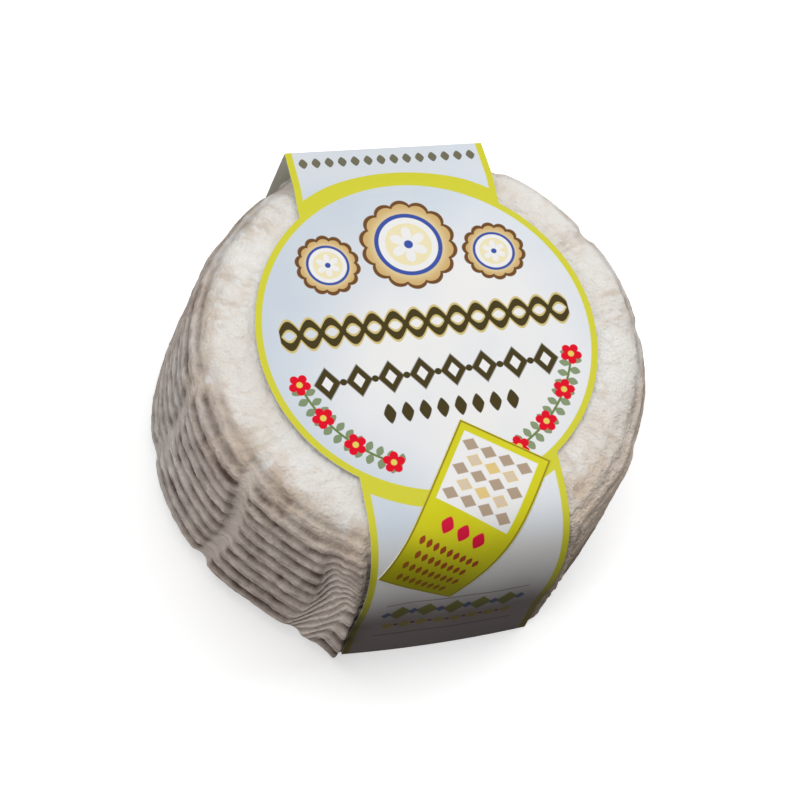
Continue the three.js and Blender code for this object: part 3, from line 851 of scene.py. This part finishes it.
def sheet_mesh(name, outer, inner, marks, materials, closed):
    """A thin sheet from rows of outer points and the rows below them. The marks are its print map in mm."""
    rows, columns = outer.shape[:2]
    points = np.concatenate([outer.reshape(-1, 3), inner.reshape(-1, 3)])
    last_row = rows if closed else rows - 1
    margin = 0.005
    faces, places, looks, bake = [], [], [], []

    def add_face(corners, look):
        """Corners are (row, column, inside). Look 0 is the print and 1 the bare paper, and each takes
        its own half of the bake map."""
        faces.append([(inside * rows + i % rows) * columns + j for i, j, inside in corners])
        looks.append(look)
        for i, j, _ in corners:
            across = j / (columns - 1) * (0.5 - 2 * margin)
            places.append(marks[i][j])
            bake.append((across + 0.5 * look + margin, margin + (1 - 2 * margin) * i / last_row))

    for i in range(last_row):
        for j in range(columns - 1):
            around = [(i, j), (i + 1, j), (i + 1, j + 1), (i, j + 1)]
            add_face([(*at, 0) for at in around], 0)
            add_face([(*at, 1) for at in reversed(around)], 1)
    rims = [[(i, 0), (i + 1, 0)] for i in range(last_row)]
    rims += [[(i + 1, columns - 1), (i, columns - 1)] for i in range(last_row)]
    if not closed:
        rims += [[(0, j + 1), (0, j)] for j in range(columns - 1)]
        rims += [[(rows - 1, j), (rows - 1, j + 1)] for j in range(columns - 1)]
    for start, end in rims:
        add_face([(*end, 0), (*start, 0), (*start, 1), (*end, 1)], 1)
    mesh = bpy.data.meshes.new(name)
    mesh.from_pydata((points * MM).tolist(), [], faces)
    for map_name, values in ((PRINT_MAP, places), (BAKE_MAP, bake)):
        layer = mesh.uv_layers.new(name=map_name)
        layer.data.foreach_set("uv", np.array(values, dtype=np.float32).ravel())
    for material in materials:
        mesh.materials.append(material)
    mesh.polygons.foreach_set("material_index", looks)
    mesh.polygons.foreach_set("use_smooth", [True] * len(faces))
    mesh.update()
    mesh.set_sharp_from_angle(angle=radians(32))
    piece = bpy.data.objects.new(name, mesh)
    bpy.context.scene.collection.objects.link(piece)
    return piece


def band_rows():
    """Places along the loop for the band's rows, with one on each crease and disc corner"""
    y, z, along = closed_side_view()
    rear_corner, front_corner = (
        DISC_RADIUS * sin(acos((BAND_WIDTH / 2 + widening) / DISC_RADIUS)) for widening in (REAR_WIDENING, 0))
    fixed = [along[0], DISC_CENTRE - rear_corner, DISC_CENTRE + front_corner, along[-3], along[-2], along[-1]]
    rows = [
        np.linspace(start, end, max(2, round((end - start) / BAND_ROW_STEP)), endpoint=False)
        for start, end in zip(fixed, fixed[1:])
    ]
    rows = np.concatenate(rows)
    return rows, np.interp(rows, along, y), np.interp(rows, along, z), along[-1]


def make_band(printed, plain):
    rows, y, z, end = band_rows()
    edge_in = np.stack([y - np.roll(y, 1), z - np.roll(z, 1)], -1)
    edge_in /= np.linalg.norm(edge_in, axis=1, keepdims=True)
    edge_out = np.roll(edge_in, -1, axis=0)
    normal_in = np.stack([edge_in[:, 1], -edge_in[:, 0]], -1)
    normal_out = np.stack([edge_out[:, 1], -edge_out[:, 0]], -1)
    middle = normal_in + normal_out
    middle /= np.linalg.norm(middle, axis=1, keepdims=True)
    middle /= (middle * normal_out).sum(1, keepdims=True)
    half_width = half_width_at(rows)
    share = np.linspace(-1, 1, BAND_COLUMNS + 1)
    x = half_width[:, None] * share[None, :]
    sag = paper_sag(x, rows[:, None])
    faces = []
    for inward in (0, PAPER_THICKNESS):
        lift = sag - inward
        faces.append(place_band(x, y[:, None] + middle[:, :1] * lift, z[:, None] + middle[:, 1:] * lift))
    marks = [[(across, along) for across in line] for line, along in zip(x, rows)]
    marks.append([(across, end) for across in x[0]])
    return sheet_mesh("paper_band", faces[0], faces[1], marks, [printed, plain], closed=True)


def paper_sag(x, along):
    """How far the paper stands off its straight run: slack over the front wall, nowhere at a crease"""
    front = ((along - SLACK_START) / SLACK_LENGTH).clip(0, 1)
    waves = sum(height * np.sin(x * across_turn + along * along_turn + start)
                for height, across_turn, along_turn, start in SLACK_WAVES)
    return np.sin(front * pi) ** 2 * (SLACK + waves)


def on_band(x, along, lift):
    """Points on the band's outer face, lifted off it"""
    y, z, marks = closed_side_view()
    step = 0.4
    at_y, at_z = np.interp(along, marks, y), np.interp(along, marks, z)
    tangent = np.stack([
        np.interp(along + step, marks, y) - np.interp(along - step, marks, y),
        np.interp(along + step, marks, z) - np.interp(along - step, marks, z),
    ], -1)
    tangent /= np.linalg.norm(tangent, axis=-1, keepdims=True)
    lift = lift + paper_sag(x, along)
    return place_band(x, at_y + tangent[..., 1] * lift, at_z - tangent[..., 0] * lift)


def make_sticker(printed, plain):
    across, down = np.meshgrid(
        np.linspace(-STICKER_WIDTH / 2, STICKER_WIDTH / 2, STICKER_COLUMNS + 1),
        np.linspace(-STICKER_LENGTH / 2, STICKER_LENGTH / 2, STICKER_ROWS + 1))
    x = STICKER_ACROSS + across * cos(STICKER_ANGLE) - down * sin(STICKER_ANGLE)
    along = STICKER_ALONG + across * sin(STICKER_ANGLE) + down * cos(STICKER_ANGLE)
    outer = on_band(x, along, STICKER_LIFT + STICKER_THICKNESS)
    inner = on_band(x, along, STICKER_LIFT)
    marks = np.stack([across, down], -1)
    return sheet_mesh("sticker_label", outer, inner, marks, [printed, plain], closed=False)


# Materials

def new_material(name):
    material = bpy.data.materials.new(name)
    material.use_nodes = True
    tree = material.node_tree
    surface = tree.nodes["Principled BSDF"]
    return material, tree, surface


def attribute(tree, name):
    return Field(add_node(tree, "ShaderNodeAttribute", {"attribute_name": name}).outputs["Fac"])


def paint(under, mask, colour):
    """Lays a colour over another by a mask"""
    tree = mask.tree
    node = add_node(tree, "ShaderNodeMix", {"data_type": "RGBA"})
    feed(node.inputs[0], mask)
    for place, value in ((node.inputs[6], under), (node.inputs[7], colour)):
        feed(place, value if isinstance(value, bpy.types.NodeSocket) else (*value, 1.0))
    return node.outputs[2]


def object_point(tree):
    """The place on the object in millimetres"""
    return scaled(tree, add_node(tree, "ShaderNodeTexCoord").outputs["Object"], 1 / MM)


def bump(tree, height, distance):
    inputs = {"Height": height, "Distance": distance * MM}
    return add_node(tree, "ShaderNodeBump", inputs=inputs).outputs[0]


def finish(surface, looks):
    """Sets or links the Principled node's inputs"""
    for name, value in looks.items():
        feed(surface.inputs[name], value)


def rind_material():
    """White mould over a cream rind, greyer and browner on the wall, with painted shade in its valleys and
    folds and painted light on one side
    """
    material, tree, surface = new_material("white_mould_rind")
    point = object_point(tree)
    names = "down valley floor vein past_white passed dragged groove ruddy tan_side pale_side fold streak"
    (down, valley, floor, vein, past_white, passed, dragged, groove, ruddy, tan_side, pale_side, fold,
     streak) = (attribute(tree, name) for name in names.split())
    streaks = ((passed * (2 * pi)).calc("COSINE") * 0.5 + 0.5) * dragged
    coarse = noise(tree, point, 13, 2.0, detail=3)
    medium = noise(tree, point, 4, 5.0, detail=3)
    small = noise(tree, point, 2.2, 3.0, detail=3)
    fine = noise(tree, point, 0.9, 9.0, detail=3, roughness=0.6)
    drawn_out = add_node(tree, "ShaderNodeVectorMath", {"operation": "MULTIPLY"})
    feed(drawn_out.inputs[0], point)
    feed(drawn_out.inputs[1], (0.28, 0.28, 1.0))
    strands = noise(tree, drawn_out.outputs[0], 1.5, 12.0, detail=3, roughness=0.6)
    near_edge = coarse.ramp(-0.05, 0.3) * medium.ramp(-0.3, 0.3) * past_white.ramp(-16, -3)
    on_wall = (past_white + small * 2 + medium * 1.5).ramp(-2.5, 1.5)
    rim = coarse.ramp(-0.25, 0.2) * 0.75 + 0.25
    uneven = medium.ramp(-0.5, 0.5, 0.65, 1.1)

    # Each layer is where it lies, how strongly, and its colour, from the lowest up
    layers = [
        # The white: pale mould over cream, tan specks, and tan above the edge
        (coarse.ramp(-0.3, 0.35), 1, (0.805, 0.795, 0.77)),
        (medium.ramp(0.0, 0.5), 0.7, (0.75, 0.685, 0.61)),
        (small.ramp(0.15, 0.6), 0.4, (0.71, 0.645, 0.575)),
        (near_edge, 0.45, (0.64, 0.53, 0.435)),
        # The wall: its tan rim, its ground, a side painted paler as painted light, its tan side, and brown
        # patches
        (on_wall * rim, 1, (0.68, 0.565, 0.455)),
        (down.ramp(9, 20) * on_wall, 1, (0.82, 0.71, 0.635)),
        (pale_side * on_wall, 0.7, (0.97, 0.95, 0.92)),
        (tan_side, 0.75, (0.78, 0.635, 0.49)),
        (on_wall * medium.ramp(0.0, 0.6), 0.35, (0.60, 0.50, 0.45)),
        (ruddy, 0.4, (0.47, 0.365, 0.325)),
        # Dark and light strands along the ridges
        (strands.ramp(0.0, 0.5) * on_wall, 0.5, (0.42, 0.34, 0.295)),
        (strands.ramp(0.0, -0.5) * on_wall, 0.5, (0.84, 0.79, 0.75)),
        # Painted shade in the valleys, the grooves between them and the ridges dragged across a pleat; smooth
        # floors greyer; painted shadow in folds
        (((valley ** 0.75) * uneven).common(1), 1, (0.108, 0.072, 0.056)),
        ((groove * medium.ramp(-0.5, 0.2) * 0.8).common(1), 1, (0.27, 0.21, 0.18)),
        (streaks, 0.6, (0.24, 0.18, 0.145)),
        (floor * medium.ramp(-0.6, 0.3, 0.4, 0.8), 1, (0.56, 0.485, 0.43)),
        # Painted shadow in the fold left of each pleat
        (fold, 0.4, (0.25, 0.205, 0.18)),
        # Painted shade at the tan side's foot, streaks below the white, veins and fine bright specks
        (tan_side * down.ramp(27, 52), 0.75, (0.20, 0.15, 0.115)),
        (streak, 0.6, (0.56, 0.47, 0.38)),
        (vein, 0.22, (0.58, 0.48, 0.40)),
        (fine.ramp(0.15, 0.75), 0.22, (0.90, 0.89, 0.87)),
    ]
    colour = (0.745, 0.71, 0.66)
    for mask, strength, layer_colour in layers:
        colour = paint(colour, mask * strength, layer_colour)
    granules = noise(tree, point, 0.7, 4.0, detail=2) * 0.6 + noise(tree, point, 1.8, 6.0) * 0.8
    height = granules - streaks * 1.5 - strands.ramp(-0.3, 0.6) * on_wall
    finish(surface, {
        "Base Color": colour, "Roughness": 0.88, "Specular IOR Level": 0.12,
        "Normal": bump(tree, height, 0.36),
        "Subsurface Weight": 0.08, "Subsurface Radius": (1.0, 0.8, 0.6), "Subsurface Scale": 2 * MM})
    return material


def paper_fibre_group():
    """Fine paper texture: a height for the bump and a slight mottle"""
    group, given = new_group("Paper fibre", "ShaderNodeTree", {"Point": "NodeSocketVector", "Grain": 1.0},
                             {"Height": "NodeSocketFloat", "Mottle": "NodeSocketFloat"})
    point = given["Point"].socket
    fibres = noise(group, point, 0.35, 1.0, detail=3, roughness=0.7)
    waves = noise(group, point, 16, 3.0, detail=1)
    put_out(group, Height=fibres * given["Grain"] * 0.25 + waves, Mottle=fibres * given["Grain"])
    return group


def petals_group():
    """A round shape with petals: 1 inside its outline"""
    group, given = new_group("Petals", "ShaderNodeTree", {
        "Across": 0.0, "Along": 0.0, "Centre Across": 0.0, "Centre Along": 0.0, "Petals": 5.0,
        "Radius": 5.0, "Waist": 0.55, "Turn": 0.0}, {"Mask": "NodeSocketFloat"})
    across, along, centre_across, centre_along, petals, radius, waist, turn = given.values()
    x = across - centre_across
    y = along - centre_along
    angle = x.calc("ARCTAN2", y) + turn
    lobe = abs((angle * petals * 0.5).calc("COSINE")) ** 0.7
    outline = radius * (waist + (1 - waist) * lobe)
    put_out(group, Mask=(hypotenuse(x, y) - outline).below(0))
    return group


def bead_row_group():
    """A level row of equal beads: lozenges at roundness 1, ovals at 2"""
    group, given = new_group("Bead row", "ShaderNodeTree", {
        "Across": 0.0, "Along": 0.0, "Centre Across": 0.0, "Centre Along": 0.0, "Pitch": 5.0, "Count": 9.0,
        "Bead Width": 4.0, "Bead Height": 5.0, "Roundness": 1.0}, {"Mask": "NodeSocketFloat"})
    across, along, centre_across, centre_along, pitch, count, width, height, roundness = given.values()
    place = (across - centre_across) / pitch + (count - 1) * 0.5
    nearest = place.calc("ROUND").union(0).common(count - 1)
    x = abs((place - nearest) * pitch) / (width * 0.5)
    y = abs(along - centre_along) / (height * 0.5)
    put_out(group, Mask=(x ** roundness + y ** roundness).below(1, 0.09))
    return group


def print_places(tree):
    """Across and along the flat paper, in mm"""
    place = add_node(tree, "ShaderNodeUVMap", {"uv_map": PRINT_MAP}).outputs[0]
    parts = add_node(tree, "ShaderNodeSeparateXYZ", inputs={"Vector": place})
    return Field(parts.outputs["X"]), Field(parts.outputs["Y"])


class Press:
    """Prints shapes on a paper's colour, in the flat paper's millimetres."""

    def __init__(self, tree, groups, ground):
        self.tree = tree
        self.groups = groups
        self.x, self.y = print_places(tree)
        self.colour = ground(tree, self.x, self.y)

    def ink(self, mask, colour, strength=1.0):
        self.colour = paint(self.colour, mask * strength, colour)

    def petals(self, centre, count, radius, waist=0.55, turn=0.0):
        out = use_group(self.tree, self.groups["petals"], Across=self.x, Along=self.y,
                        Centre_Across=centre[0], Centre_Along=centre[1], Petals=count,
                        Radius=radius, Waist=waist, Turn=turn)
        return Field(out["Mask"])

    def beads(self, centre, pitch, count, size, roundness=1.0, places=None):
        across, along = places or (self.x, self.y)
        out = use_group(self.tree, self.groups["beads"], Across=across, Along=along,
                        Centre_Across=centre[0], Centre_Along=centre[1], Pitch=pitch, Count=count,
                        Bead_Width=size[0], Bead_Height=size[1], Roundness=roundness)
        return Field(out["Mask"])

    def bead_rows(self, rows, further=0):
        """Prints a list of rows, each moved further along the paper"""
        for (across, along), pitch, count, size, roundness, colour in rows:
            self.ink(self.beads((across, along + further), pitch, count, size, roundness), colour)

    def block(self, left, right, top, bottom):
        return self.x.within(left, right) * self.y.within(top, bottom)

    def distance(self, centre):
        return hypotenuse(self.x - centre[0], self.y - centre[1])


def sky_ground(tree, x, y):
    """A pale sky: blue towards the edges, white in the middle, with soft clouds, and painted light on the
    front bend
    """
    clouds = noise(tree, combine(tree, x, y, 0.0), 21, 7.0, detail=2)
    from_middle = hypotenuse(x - 8, y - 6)
    blue = (from_middle.ramp(14, 58) * 0.8 + clouds * 0.45 + 0.05).line(0, 1)
    on_front = y.ramp(FRONT_SHADE_GONE, FRONT_SHADE_END)
    # Blue, deeper at the rear left and the front left, greyer at the rear crease, and creamy on the bend,
    # where it is painted light
    layers = [
        (blue, 1, SKY_PAPER),
        ((0 - x - y).ramp(5, 60), 0.4, DEEP_SKY),
        ((y - x).ramp(34, 62) * on_front, 0.4, DEEP_SKY),
        (y.ramp(-43, -50), 0.4, (0.76, 0.765, 0.77)),
        # Painted light: the front bend is painted paler and creamy, as if lit more
        (y.ramp(46, 58) * on_front, 0.8, (0.84, 0.82, 0.79)),
    ]
    sky = WHITE_PAPER
    for mask, strength, colour in layers:
        sky = paint(sky, mask * strength, colour)
    return sky


def print_rosettes(press):
    """Three gold rosettes in a shallow bow, each with a white and a blue ring"""
    for across, along, radius in ROSETTES:
        centre = (across, along)
        distance = press.distance(centre)
        press.ink(press.petals(centre, 14, radius + 1.1, waist=0.9), ROSETTE_EDGE)
        disc = press.petals(centre, 14, radius, waist=0.9)
        press.ink(disc, ROSETTE_GOLD)
        press.ink(disc * distance.ramp(radius * ROSETTE_SHADE_FROM, radius), ROSETTE_SHADE)
        for (inner, outer), colour in ((BLUE_RING, BLUE_INK), (WHITE_RING, WHITE_PAPER)):
            press.ink(distance.within(radius * inner, radius * outer), colour)
        press.ink(press.petals(centre, 6, radius * FLOWER_SHARE, waist=0.3), WHITE_PAPER)
        press.ink(distance.below(radius * EYE_SHARE), BLUE_INK)


def print_title_rows(press):
    """Ornament where such a label has its lines of words"""
    wave = (press.x * (2 * pi / PLAIT_WAVE)).calc("SINE") * PLAIT_HEIGHT
    for reach, colour in ((1.75, GOLD_LINE), (1.1, OLIVE_BROWN)):
        low = abs(press.y - PLAIT_ALONG - wave).below(reach)
        high = abs(press.y - PLAIT_ALONG + wave).below(reach)
        press.ink(low.union(high) * abs(press.x).below(PLAIT_REACH), colour)
    press.bead_rows(TITLE_BEADS)


def print_garland(press):
    """Two leafy stems along the lower part of the ring, with small equal blossoms at even steps"""
    x, y = press.x, press.y - DISC_CENTRE
    around = x.calc("ARCTAN2", y) * STEM_RADIUS
    out = hypotenuse(x, y)
    for side in (-1, 1):
        middle = side * STEM_MIDDLE
        stem = abs(out - STEM_RADIUS).below(0.3) * abs(around - middle).below(STEM_REACH)
        press.ink(stem, LEAF_GREEN)
        for row, shift in ((38.7, 0), (35.7, 1.5)):
            leaves = press.beads((middle + shift, row), 3.0, 11, (2.0, 2.9), 1.5, places=(around, out))
            press.ink(leaves, LEAF_GREEN, 0.85)
        for step in range(4):
            angle = radians(26 + 16 * step)
            centre = (side * STEM_RADIUS * sin(angle), DISC_CENTRE + STEM_RADIUS * cos(angle))
            press.ink(press.petals(centre, 5, 2.9, 0.6, turn=side * angle), BLOSSOM_RED)
            press.ink(press.distance(centre).below(0.8), BLOSSOM_YELLOW)


def print_panel_rows(press, middle):
    """Rows of small lozenges and dots between two fine lines, low on a panel"""
    for row in (middle - 10.5, middle + 11):
        press.ink(press.block(-19, 19, row, row + 0.6), (0.35, 0.33, 0.30))
    press.bead_rows(PANEL_BEADS, further=middle)


def printed_paper_material(groups):
    """The band's printed face: sky, lime ring and borders, rosettes, ornament and blossoms, with painted
    shade low on the front and painted light on the bend
    """
    material, tree, surface = new_material("printed_band_paper")
    press = Press(tree, groups, sky_ground)
    print_rosettes(press)
    print_title_rows(press)
    print_garland(press)
    for middle in (FRONT_ROWS_ALONG, BACK_ROWS_ALONG):
        print_panel_rows(press, middle)
    from_centre = press.distance((0, DISC_CENTRE))
    ring = from_centre.within(RING_INNER, RING_OUTER)
    from_crease = (press.y - float(LOOP_START)).common(float(LOOP_END) - press.y)
    widened = from_crease.line(WIDE_UNTIL, WIDENING_GONE, REAR_WIDENING, 0)
    inside_border = abs(press.x) - widened - (BAND_WIDTH / 2 - BORDER_WIDTH)
    outside = from_centre.ramp(DISC_RADIUS - 1, DISC_RADIUS)
    press.ink(ring.union(inside_border.ramp(-EDGE, EDGE) * outside), LIME)
    # Painted shade: the front panel darkens towards its foot, and this ends under the base
    shade = press.y.ramp(59.5, 90) * press.y.ramp(FRONT_SHADE_GONE, FRONT_SHADE_END)
    press.ink(shade, WARM_SHADE, 0.83)
    finish_paper(tree, surface, groups, press.colour, grain=0.5, roughness=0.55)
    return material


def sticker_ground(tree, x, y):
    shade = noise(tree, combine(tree, x, y, 5.0), 12, 1.0)
    return paint((0.62, 0.59, 0.014), shade.ramp(-0.4, 0.6), (0.66, 0.625, 0.022))


def printed_sticker_material(groups):
    """The sticker's printed face: lime, a white panel with a lattice of lozenges, bead rows, and painted
    shade towards its lower end
    """
    material, tree, surface = new_material("printed_sticker_paper")
    press = Press(tree, groups, sticker_ground)
    press.ink(press.block(-10.4, 9.8, -21.4, -1.6), WHITE_PAPER)
    press.bead_rows(STICKER_BEADS)
    # Painted shade: the sticker darkens towards its lower end, low on the band's front
    press.ink(press.y.ramp(5, 23), (0.16, 0.14, 0.0), 0.62)
    from_edge = (abs(press.x) - STICKER_WIDTH / 2).union(abs(press.y) - STICKER_LENGTH / 2)
    press.ink(from_edge.within(-0.55, -0.15), (0.28, 0.20, 0.02))
    finish_paper(tree, surface, groups, press.colour, grain=0.4, roughness=0.5)
    return material


def plain_paper_material(groups):
    """The unprinted back and the cut edges of the paper"""
    material, tree, surface = new_material("unprinted_paper")
    shade = noise(tree, object_point(tree), 9, 8.0)
    colour = paint((0.75, 0.75, 0.64), shade.ramp(-0.5, 0.6), (0.80, 0.795, 0.71))
    finish_paper(tree, surface, groups, colour, grain=1.0, roughness=0.62)
    return material


def finish_paper(tree, surface, groups, colour, grain, roughness):
    fibre = use_group(tree, groups["fibre"], Point=object_point(tree), Grain=grain)
    mottle = Field(fibre["Mottle"])
    finish(surface, {
        "Base Color": paint(colour, mottle.ramp(0.2, 0.9) * 0.06, (0.45, 0.45, 0.44)),
        "Roughness": mottle * 0.03 + roughness,
        "Normal": bump(tree, fibre["Height"], 0.06),
        "Specular IOR Level": 0.06})


# Camera, floor and light

def make_camera():
    azimuth, elevation = CAMERA_AZIMUTH, CAMERA_ELEVATION
    back = Vector((sin(azimuth) * cos(elevation), -cos(azimuth) * cos(elevation), sin(elevation)))
    right = (-back).cross(Vector((0, 0, 1))).normalized()
    up = right.cross(-back)
    rolled_right = cos(CAMERA_ROLL) * right + sin(CAMERA_ROLL) * up
    rolled_up = -sin(CAMERA_ROLL) * right + cos(CAMERA_ROLL) * up
    data = bpy.data.cameras.new("camera")
    data.sensor_width = SENSOR_WIDTH
    data.lens = CAMERA_FOCUS_PIXELS * SENSOR_WIDTH / PICTURE_PIXELS
    data.clip_start = 0.01
    camera = bpy.data.objects.new("camera", data)
    turned = Matrix((rolled_right, rolled_up, back)).transposed()
    camera.matrix_world = Matrix.Translation((CAMERA_TARGET + back * CAMERA_DISTANCE) * MM) @ turned.to_4x4()
    bpy.context.scene.collection.objects.link(camera)
    bpy.context.scene.camera = camera


def make_floor():
    """A plain pale floor. It gives back less light than it shows, so the foot stays dark."""
    corners = [(x * FLOOR_HALF, y * FLOOR_HALF, 0) for x, y in ((-1, -1), (1, -1), (1, 1), (-1, 1))]
    mesh = bpy.data.meshes.new("floor")
    mesh.from_pydata(corners, [], [(0, 1, 2, 3)])
    material, tree, surface = new_material("pale_floor")
    seen = Field(add_node(tree, "ShaderNodeLightPath").outputs["Is Camera Ray"])
    finish(surface, {
        "Base Color": paint((FLOOR_GIVEN,) * 3, seen, (FLOOR_SEEN,) * 3), "Emission Color": (1, 1, 1, 1),
        "Emission Strength": seen * FLOOR_GLOW, "Roughness": 0.9, "Specular IOR Level": 0.1})
    mesh.materials.append(material)
    floor = bpy.data.objects.new("floor", mesh)
    bpy.context.scene.collection.objects.link(floor)


def add_area_light(name, place, aim, size, power):
    data = bpy.data.lights.new(name, "AREA")
    data.shape = "RECTANGLE"
    data.size, data.size_y = size
    data.energy = power
    light = bpy.data.objects.new(name, data)
    back = (Vector(place) - Vector(aim)).normalized()
    right = Vector((1, 0, 0))
    right = (right - right.dot(back) * back).normalized()
    turned = Matrix((right, back.cross(right), back)).transposed()
    light.matrix_world = Matrix.Translation(place) @ turned.to_4x4()
    bpy.context.scene.collection.objects.link(light)


def make_light():
    for light in LIGHTS:
        add_area_light(*light)
    world = bpy.data.worlds.new("studio")
    world.use_nodes = True
    background = world.node_tree.nodes["Background"]
    feed(background.inputs["Color"], ROOM_COLOUR)
    feed(background.inputs["Strength"], ROOM_LIGHT)
    bpy.context.scene.world = world
    bpy.context.scene.view_settings.view_transform = "Standard"


make_camera()
make_floor()
make_light()

shared = {"fibre": paper_fibre_group(), "petals": petals_group(), "beads": bead_row_group()}
plain_paper = plain_paper_material(shared)

cheese = make_cheese(rind_material())
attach(cheese, "root")
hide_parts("cheese")

band = make_band(printed_paper_material(shared), plain_paper)
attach(band, "root")
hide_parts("band")

sticker = make_sticker(printed_sticker_material(shared), plain_paper)
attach(sticker, "root")
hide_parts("sticker")
